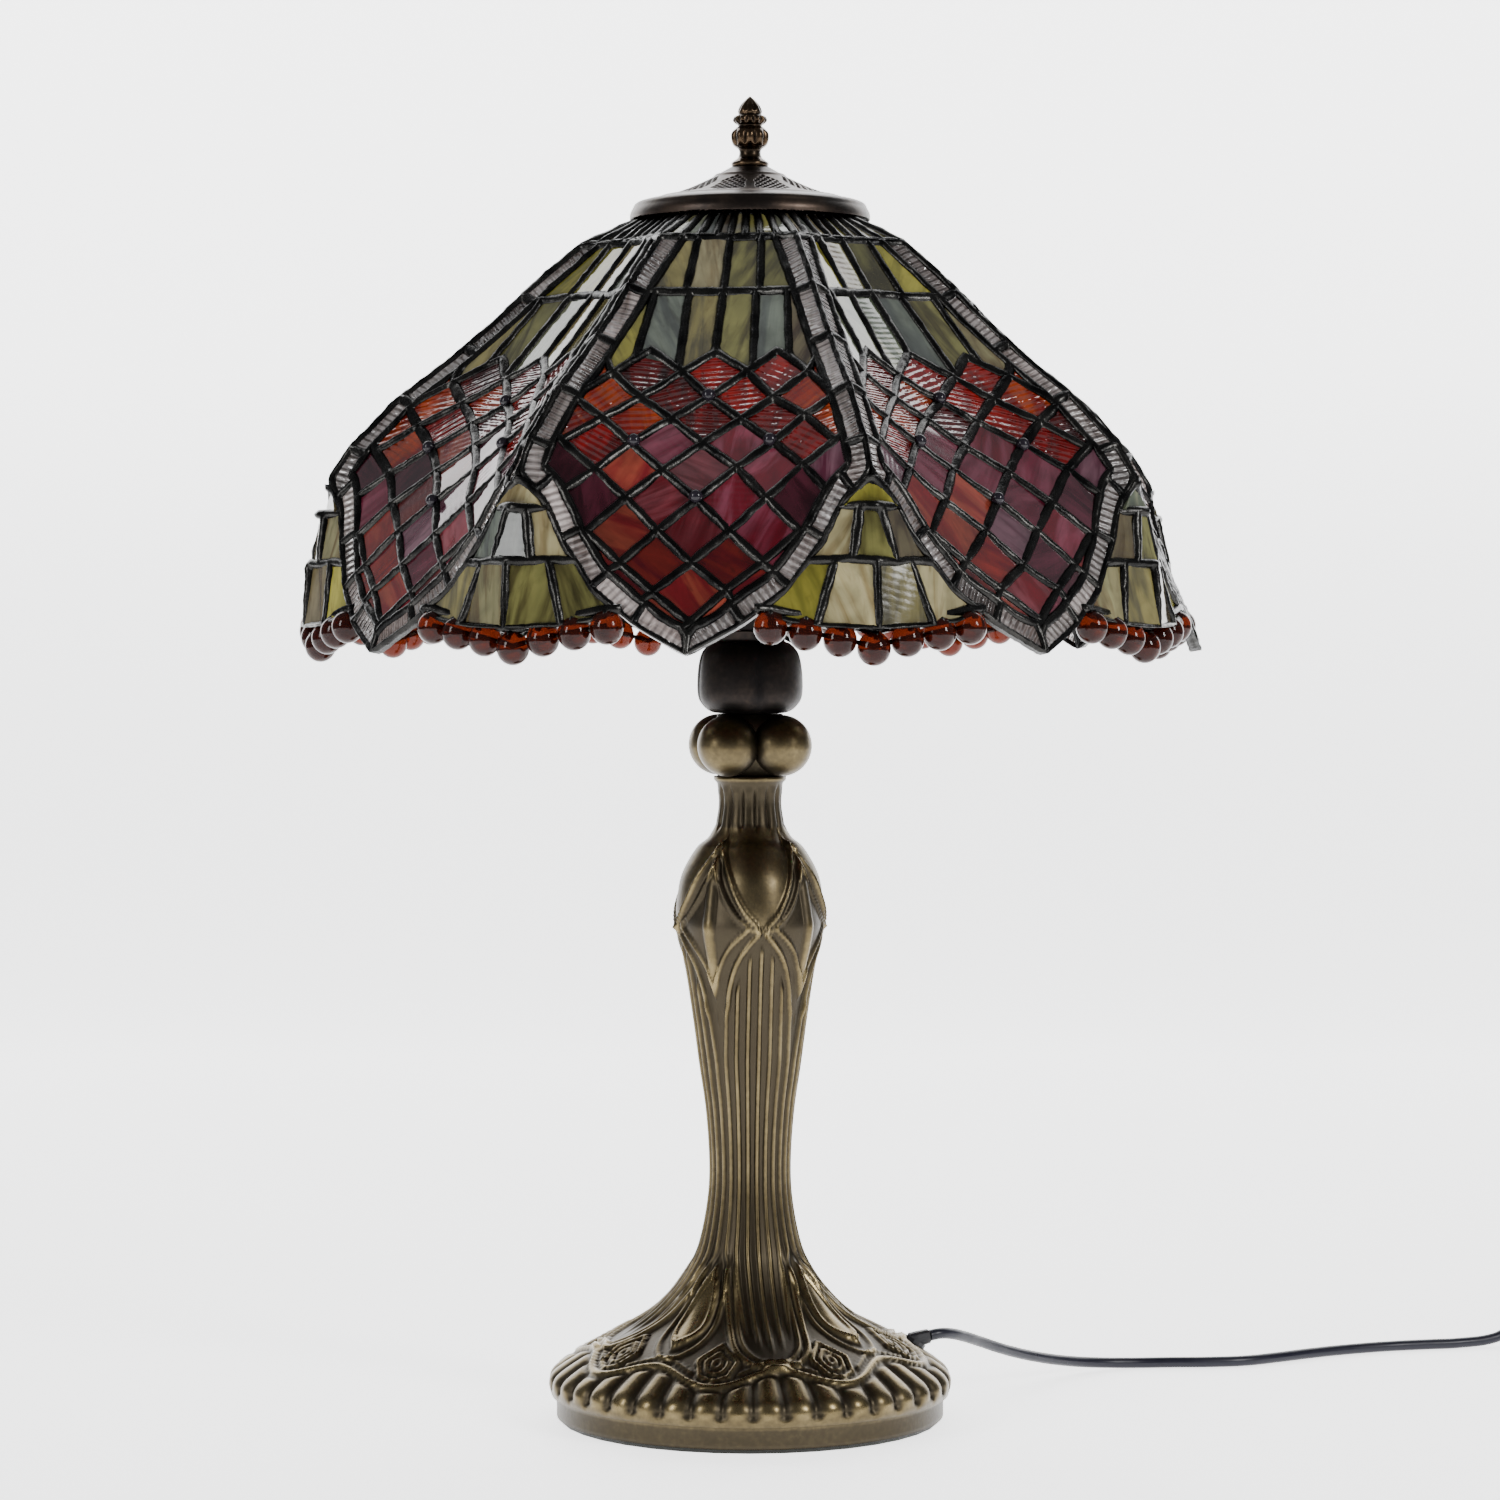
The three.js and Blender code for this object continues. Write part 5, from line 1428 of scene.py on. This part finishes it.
# %% The tulip
def tulip_relief(side, z, half):
    """The tulip's relief: `side` is mm from a medallion's middle, `half` the motif's half width."""
    away = np.abs(side)
    scale = half / 24.0
    inner = curve([(13.5, 274), (16.5, 262), (14, 247), (8, 234), (1.2, 226), (5, 221),
                   (11, 212), (14.5, 200), (15.5, 186)])
    outer = curve([(19.5, 266), (21.5, 254), (19, 243), (12.5, 233), (6, 227.5), (9.5, 224),
                   (16, 217), (20.5, 206), (23, 192)])
    d_in, _ = to_line(away, z, inner)
    d_out, _ = to_line(away, z, outer)
    height = ridge(d_in, 1.5, 1.7) * step(z, 184, 192)
    height += ridge(d_out, 1.4, 1.5) * step(z, 190, 197)
    medallion = (away < np.interp(z, inner[::-1, 1], inner[::-1, 0])) & (z > 226) & (z < 272)
    swell = np.where(medallion, 2.4 * np.clip(1 - (away / 16) ** 2 - ((z - 252) / 30) ** 2, 0, 1),
                     0)
    keel = ridge(np.abs(half - away), 3.4 * scale, 1.7) * step(z, 190, 212)
    keel *= 1 - step(z, 258, 272)
    bar = ridge(np.abs(z - 226), 1.5, 1.2) * (away < 5)
    between = -0.9 * step(d_in, 1.0, 3.0) * step(z, 226, 234) * (~medallion) * (z < 272)
    return height + swell + keel + bar + between, medallion

# %% [markdown]
# Thin ribs run down the stem at an even pitch. Each quarter's ribs end above in an arch under the
# medallion and below inside the arch on the foot.

# %% The stem's ribs
def stem_ribs(side, z, half):
    """Thin upright ribs all round the stem, from under the medallions down into the arches."""
    away = np.abs(side) / half
    pitch = np.minimum(2 * half / RIBS, 5.3)
    place = np.abs((np.abs(side) + pitch / 2) % pitch - pitch / 2)
    rib = ridge(place, 1.25, 1.5)
    top = np.interp(away, [0, 0.25, 0.45, 0.65, 0.85, 1], [221, 216, 205, 196, 190, 188])
    low = np.interp(np.abs(side), [0, 6, 11.5, 13.5, 18, 30], [39, 40.5, 44, 66, 76, 84])
    return rib * step(top - z, 0, 6) * step(z - low, 0, 10)

# %% [markdown]
# The foot carries arches, a leaf bud between them, nested lozenges, a waving band and, outside it,
# the lobes of the rim. The motifs' lines are given by distance across and by radius.

# %% The foot
def foot_relief(side, azimuth, radius, half):
    """The arches, the lozenges, the bud and the lobed rim, by mm down the foot's slope."""
    away, reach = np.abs(side), radius
    arch_in = curve([(12, 27), (12.6, 36), (13.5, 48), (12.5, 58), (7.5, 65), (0, 67.5)])
    arch_out = curve([(16, 28), (16.6, 36), (17.2, 48), (16.8, 59), (11, 67.5), (0, 71)])
    d_in, _ = to_line(away, reach, arch_in)
    d_out, _ = to_line(away, reach, arch_out)
    height = ridge(d_in, 1.6, 1.5) + ridge(d_out, 2.0, 1.9)
    bud_side = half - away  # from the bud's middle, half way between the arches
    bud = curve([(0, 26), (4.2, 33), (6.8, 43), (5.6, 52), (0, 60)])
    d_bud, _ = to_line(bud_side, reach, bud)
    in_bud = (bud_side < np.interp(reach, bud[:, 1], bud[:, 0], left=0, right=0))
    height += ridge(d_bud, 1.8, 1.6)
    height += np.where(in_bud, 1.9 * np.clip(1 - (bud_side / 7.5) ** 2, 0, 1), 0)
    stalk = curve([(4, 20), (7.2, 31), (11, 44), (11, 55), (7, 63), (0, 68)])
    d_stalk, _ = to_line(bud_side, reach, stalk)
    height += ridge(d_stalk, 1.5, 1.3)
    quarter = half / 2
    loz = np.abs(away - quarter)
    for size, rise in ((1.0, 1.9), (0.6, 1.6), (0.25, 1.3)):
        diamond = [(0, 67.5 - 11.5 * size), (9.2 * size, 67.5 - 1 * size),
                   (6.4 * size, 67.5 + 8 * size), (0, 67.5 + 10.5 * size)]
        d, _ = to_line(loz, reach, diamond)
        height += ridge(d, 1.3, rise)
    wave = 76.5 - 5.0 * np.cos(2 * np.pi * away / half)
    height += ridge(np.abs(reach - wave), 2.0, 2.2)
    height += ridge(np.abs(reach - wave + 5.0), 1.3, 1.2) * (loz > 10)
    lobes = np.abs(((azimuth - ARCH_AT) / 9.0) % 1 - 0.5) * 2
    fan = step(reach, wave + 1.5, wave + 5)
    height = height * (1 - 0.9 * fan) + fan * (2.6 * (1 - lobes ** 2.4) - 0.9)
    return height

# %% [markdown]
# The parts are added with soft masks by height, and the neck is fluted.

# %% The whole relief
RELIEF_FROM, RELIEF_TO = 14.8, 292
CUT_BACK = 1.2  # the ground lies under the outline, so that the motifs reach it


def column_relief(azimuth, radius, z):
    """Relief height in mm outwards for every point of the skin."""
    turn = (azimuth - ARCH_AT + 45) % 90 - 45
    side = np.radians(turn) * radius
    half = np.radians(45) * radius
    tulip, medallion = tulip_relief(side, z, half)
    ribs = stem_ribs(side, z, half)
    foot_on = 1 - step(z, 62, 84)
    foot = foot_relief(side, azimuth, radius, half)
    column = tulip * (z > 150) * (1 - step(z, 268, 276))
    neck = np.abs(((azimuth - ARCH_AT) / 24.0) % 1 - 0.5) * 2
    fluted = step(z, 270, 274) * (1 - step(z, 287, 291))
    height = column + ribs * (1 - fluted) * (1 - step(z, 216, 222)) + foot * foot_on
    height = height + fluted * (1.5 * (1 - neck ** 3) - 1.0)
    return height, medallion


def column_casting():
    lower = [(BAND - 4, 1.9), (BAND, 2.1), (BAND, 4), (BAND, 7), (BAND, 10), (BAND + 0.2, BAND_TOP),
             (BAND + 2.4, BAND_TOP + 0.5)]
    upper = [(NECK * 1.06, COLUMN), (10, COLUMN)]
    bm = turned([*lower, *map(tuple, SKIN), *upper], steps=TURNS)
    relief = bm.verts.layers.float.new("relief")
    rows = bm.verts[:]
    at = np.array([v.co for v in rows])
    normals = np.array([v.normal for v in rows])
    radius = np.hypot(at[:, 0], at[:, 1])
    azimuth = np.degrees(np.arctan2(at[:, 0], -at[:, 1])) % 360
    z = at[:, 2]
    height, medallion = column_relief(azimuth, radius, z)
    on_skin = (z > RELIEF_FROM) & (z < RELIEF_TO)
    height = np.where(on_skin, height - CUT_BACK, 0)
    at += normals * height[:, None]
    for v, p, h, smooth_part in zip(rows, at, height, medallion):
        v.co = p * MM
        v[relief] = 0.4 if smooth_part else min(1.0, max(0.0, (h + 1.4) / 3.0))
        # The band round the foot is set dark all round, though it is no hollow: painted shade.
        if p[2] < BAND_TOP:
            v[relief] = 0.22
    bmesh.ops.recalc_face_normals(bm, faces=bm.faces[:])
    return bm

# %% [markdown]
# Aged brass is olive brown where it is dark and dull gold where it is rubbed. The hollows are
# darker and rougher than the ridges.

# %% The casting
aged_brass = metal_material("aged_brass", (0.116, 0.088, 0.042, 1), (0.2, 0.155, 0.077, 1), 0.25,
                            scale=420.0, depth=0.0001, patina_and_shade_tone=(0.044, 0.036, 0.024, 1))
casting = finished("column_casting", column_casting(), aged_brass, "root",
                   stands_for="base_casting")
print("triangles in the casting:", triangles(casting))

# %% [markdown]
# ## The knobs and the vase
# Four cast balls carry a dark lobed vase. The balls are spheres that overlap a short core, as the
# casting's do. The vase is turned, and four soft creases press into it.

# %% Knobs and vase
KNOB_RADIUS, KNOB_CIRCLE, KNOB_Z, KNOB_TURN = 14.0, 17.4, 309.3, -35.0
VASE_Z, VASE_HEIGHT, VASE_RADIUS = 323.6, 38.0, 24.0
VASE_LINE = [(0, 0.42), (0.02, 0.72), (0.1, 0.9), (0.23, 1), (0.5, 1), (0.72, 0.93),
             (0.84, 0.78), (0.88, 0.66), (1, 0.72)]

dark_bronze = metal_material("dark_bronze", (0.028, 0.022, 0.019, 1), (0.07, 0.05, 0.038, 1), 0.32,
                             scale=380.0, depth=0.00012, patina_and_shade_tone=(0.012, 0.011, 0.011, 1))


def knob_cluster():
    bm = bmesh.new()
    relief = bm.verts.layers.float.new("relief")
    for k in range(4):
        place = at_azimuth(KNOB_TURN + 90 * k, KNOB_CIRCLE, KNOB_Z)
        bmesh.ops.create_uvsphere(bm, u_segments=48, v_segments=28, radius=KNOB_RADIUS,
                                  matrix=Matrix.Translation(place))
    tube(bm, [(0, 0, KNOB_Z - 14.2), (0, 0, KNOB_Z), (0, 0, KNOB_Z + 14.2)], 15, sides=40)
    for v in bm.verts:
        out = math.hypot(v.co.x, v.co.y)
        v[relief] = min(0.45, max(0.0, (out - 14) / 24))
        v.co *= MM
    bmesh.ops.recalc_face_normals(bm, faces=bm.faces[:])
    return bm


def vase():
    line = smooth_outline([(VASE_RADIUS * s, VASE_Z + VASE_HEIGHT * h) for h, s in VASE_LINE], 60)
    bm = turned([(3, VASE_Z), *map(tuple, line), (6, VASE_Z + VASE_HEIGHT)], steps=160)
    relief = bm.verts.layers.float.new("relief")
    for v in bm.verts:
        share = (v.co.z - VASE_Z) / VASE_HEIGHT
        azimuth = math.degrees(math.atan2(v.co.x, -v.co.y))
        lobe = abs(math.cos(math.radians((azimuth - KNOB_TURN) * 2)))
        crease = (1 - lobe) ** 6 * math.sin(math.pi * min(1, max(0, share))) ** 0.7
        flat = Vector((v.co.x, v.co.y, 0))
        v.co -= flat.normalized() * crease * 1.6 * (flat.length > 7)
        # The vase is kept darker all over than the cap's bronze: painted shade under the dome. Its
        # creases go darker still, as patina.
        v[relief] = 0.34 - 0.3 * crease
        v.co *= MM
    bmesh.ops.recalc_face_normals(bm, faces=bm.faces[:])
    return bm


knobs = finished("knobs", knob_cluster(), aged_brass, "root", stands_for="knob_ring")
cup = finished("vase", vase(), dark_bronze, "root", stands_for="vase_cup")
print("triangles in the knobs and the vase:", triangles(knobs), triangles(cup))

# %% [markdown]
# ## The cap
# A spun cone of dark bronze covers the opening. Ten groups of small diamonds are pressed into it.
# They are dents in the turned skin, worked out at each point, so they stay crisp on the cone.

# %% Cap
CAP_Z, CAP_RADIUS, CAP_HEIGHT, CAP_WALL = 548.5, 54.7, 24.0, 1.3
CAP_LINE = [(1, 0), (1, 0.1), (0.978, 0.21), (0.93, 0.33), (0.713, 0.44), (0.552, 0.56),
            (0.442, 0.665), (0.329, 0.79), (0.243, 0.9), (0.165, 1)]


def cap_dimple(azimuth, radius):
    """How deep the pierced lattice is here: ten groups of diamonds on the cone."""
    group = abs((azimuth / 36) % 1 - 0.5) * 2
    if not 17 < radius < 39 or group > 0.74:
        return 0.0
    a = math.radians(azimuth % 36 - 18) * radius / 3.6
    b = (radius - 28) / 3.6
    if abs(b) > 3.1 - 1.9 * group:
        return 0.0
    x, y = (a + b) % 1 - 0.5, (a - b) % 1 - 0.5
    return min(1.0, max(0.0, (0.36 - max(abs(x), abs(y))) / 0.12))


def cap():
    outer = smooth_outline([(CAP_RADIUS * r, CAP_Z + CAP_HEIGHT * h) for r, h in CAP_LINE], 84)
    top = [(4.5, CAP_Z + CAP_HEIGHT)]
    inner = [(r - CAP_WALL, z - CAP_WALL) for r, z in outer[::-3] if r > 8]
    bm = turned([*map(tuple, outer), *top, (4.5, CAP_Z + CAP_HEIGHT - CAP_WALL), *inner,
                 tuple(outer[0])], steps=440)
    relief = bm.verts.layers.float.new("relief")
    bm.normal_update()
    for v in bm.verts:
        radius = math.hypot(v.co.x, v.co.y)
        azimuth = math.degrees(math.atan2(v.co.x, -v.co.y)) % 360
        depth = cap_dimple(azimuth, radius) if v.normal.z > 0.15 else 0.0
        rim = math.exp(-((radius - 41) / 1.1) ** 2) + math.exp(-((radius - 15.5) / 0.9) ** 2)
        v.co += v.normal * (0.5 * rim * (v.normal.z > 0.1) - 0.95 * depth)
        # The dented diamonds go near black: painted shade standing for the holes of a pierced cap,
        # with a little patina in the dents. The raised rings are rubbed lighter.
        v[relief] = 0.62 + 0.3 * rim - 0.62 * depth
        v.co *= MM
    bmesh.ops.recalc_face_normals(bm, faces=bm.faces[:])
    return bm


cover = finished("cap", cap(), dark_bronze, "shade", stands_for="shade_cap")
print("triangles in the cap:", triangles(cover))

# %% [markdown]
# ## The finial
# A ribbed ball with a beaded collar and a bud screws down on the cap. It is turned first, and the
# ribs are cut by drawing points in where a cosine of the angle says.

# %% Finial
FINIAL_Z, FINIAL_RADIUS, FINIAL_HEIGHT = 572.8, 8.9, 32.0
FINIAL_LINE = [(0.92, 0), (0.96, 0.05), (0.8, 0.09), (0.62, 0.13), (0.55, 0.19), (0.6, 0.25),
               (0.88, 0.31), (1, 0.4), (0.97, 0.48), (0.72, 0.55), (0.6, 0.58), (0.78, 0.62),
               (0.88, 0.66), (0.8, 0.71), (0.6, 0.74), (0.62, 0.79), (0.5, 0.87), (0.24, 0.95),
               (0.02, 1)]

copper_bronze = metal_material("copper_bronze", (0.028, 0.02, 0.013, 1), (0.07, 0.045, 0.026, 1),
                               0.22, scale=900.0, depth=0.0001,
                               patina_and_shade_tone=(0.01, 0.008, 0.007, 1))


def finial():
    line = smooth_outline([(FINIAL_RADIUS * r, FINIAL_Z + FINIAL_HEIGHT * h)
                           for r, h in FINIAL_LINE], 110)
    bm = turned([(0, FINIAL_Z), *map(tuple, line)], steps=160)
    relief = bm.verts.layers.float.new("relief")
    for v in bm.verts:
        share = (v.co.z - FINIAL_Z) / FINIAL_HEIGHT
        a = math.atan2(v.co.x, -v.co.y)
        ball = math.exp(-((share - 0.41) / 0.1) ** 4)
        collar = math.exp(-((share - 0.66) / 0.045) ** 4)
        bud = math.exp(-((share - 0.86) / 0.08) ** 4)
        cut = (1 - abs(math.cos(5 * a)) ** 0.8) * ball + (1 - abs(math.cos(6 * a))) * collar
        cut += 0.6 * (1 - abs(math.cos(4 * a))) * bud
        flat = Vector((v.co.x, v.co.y, 0))
        v.co -= flat * 0.17 * cut
        v[relief] = 1.0 - 0.8 * min(1, cut) - 0.5 * (flat.length < 5.6) * (share < 0.6)
        v.co *= MM
    bmesh.ops.recalc_face_normals(bm, faces=bm.faces[:])
    return bm


ball = finished("finial_ball", finial(), copper_bronze, "finial", stands_for="finial")
print("triangles in the finial:", triangles(ball))

# %% [markdown]
# ## The parts inside and underneath
# The lampholders, the bulbs, the wheel that carries the shade and the rod through the column keep
# the frame's shapes. They are seen only from below, and their finishes tell them apart: iron, zinc
# steel, bright brass, frosted glass and felt.

# %% The parts inside and under the shade
black_iron = metal_material("black_iron", (0.03, 0.03, 0.03, 1), (0.07, 0.065, 0.06, 1), 0.55)
zinc_steel = metal_material("zinc_steel", (0.4, 0.4, 0.38, 1), (0.6, 0.6, 0.58, 1), 0.3)
bright_brass = metal_material("bright_brass", (0.42, 0.3, 0.12, 1), (0.6, 0.44, 0.2, 1), 0.26)


def felt_material():
    made, tree, shader = new_material("felt")
    set_constants(shader, Roughness=0.95, Sheen_Weight=0.4)
    place = node(tree, "ShaderNodeTexCoord")
    fibre = node(tree, "ShaderNodeTexNoise", Scale=1400.0, Detail=4.0, Distortion=1.5)
    link(tree, place.outputs["Object"], fibre.inputs["Vector"])
    tone = node(tree, "ShaderNodeMix", data_type="RGBA")
    tone.inputs["A"].default_value = (0.006, 0.007, 0.006, 1)
    tone.inputs["B"].default_value = (0.03, 0.032, 0.028, 1)
    link(tree, fibre.outputs["Fac"], tone.inputs["Factor"])
    link(tree, tone.outputs["Result"], shader.inputs["Base Color"])
    bump = node(tree, "ShaderNodeBump", Strength=0.7, Distance=0.0004)
    link(tree, fibre.outputs["Fac"], bump.inputs["Height"])
    link(tree, bump.outputs["Normal"], shader.inputs["Normal"])
    return made


def frosted_bulb():
    made, tree, shader = new_material("frosted_bulb")
    set_constants(shader, Transmission_Weight=0.35, Roughness=0.32, Subsurface_Weight=0.2)
    place = node(tree, "ShaderNodeTexCoord")
    frost = node(tree, "ShaderNodeTexNoise", Scale=700.0, Detail=3.0)
    link(tree, place.outputs["Object"], frost.inputs["Vector"])
    tone = node(tree, "ShaderNodeMix", data_type="RGBA")
    tone.inputs["A"].default_value = (0.78, 0.76, 0.72, 1)
    tone.inputs["B"].default_value = (0.88, 0.87, 0.83, 1)
    link(tree, frost.outputs["Fac"], tone.inputs["Factor"])
    link(tree, tone.outputs["Result"], shader.inputs["Base Color"])
    return made


paint(["base_weight"], black_iron)
paint(["cluster_body"], dark_bronze)
paint(["base_plate", "rod_washer", "base_nut", "threaded_rod", "arm_nipple_1", "arm_nipple_2",
       "riser_rod", "wheel_nut"], zinc_steel)
paint(["shade_wheel", "aperture_ring"], bright_brass)
paint(["felt_pad"], felt_material())
paint(["bulb_1", "bulb_2"], frosted_bulb())
print("materials in all:", len(bpy.data.materials))
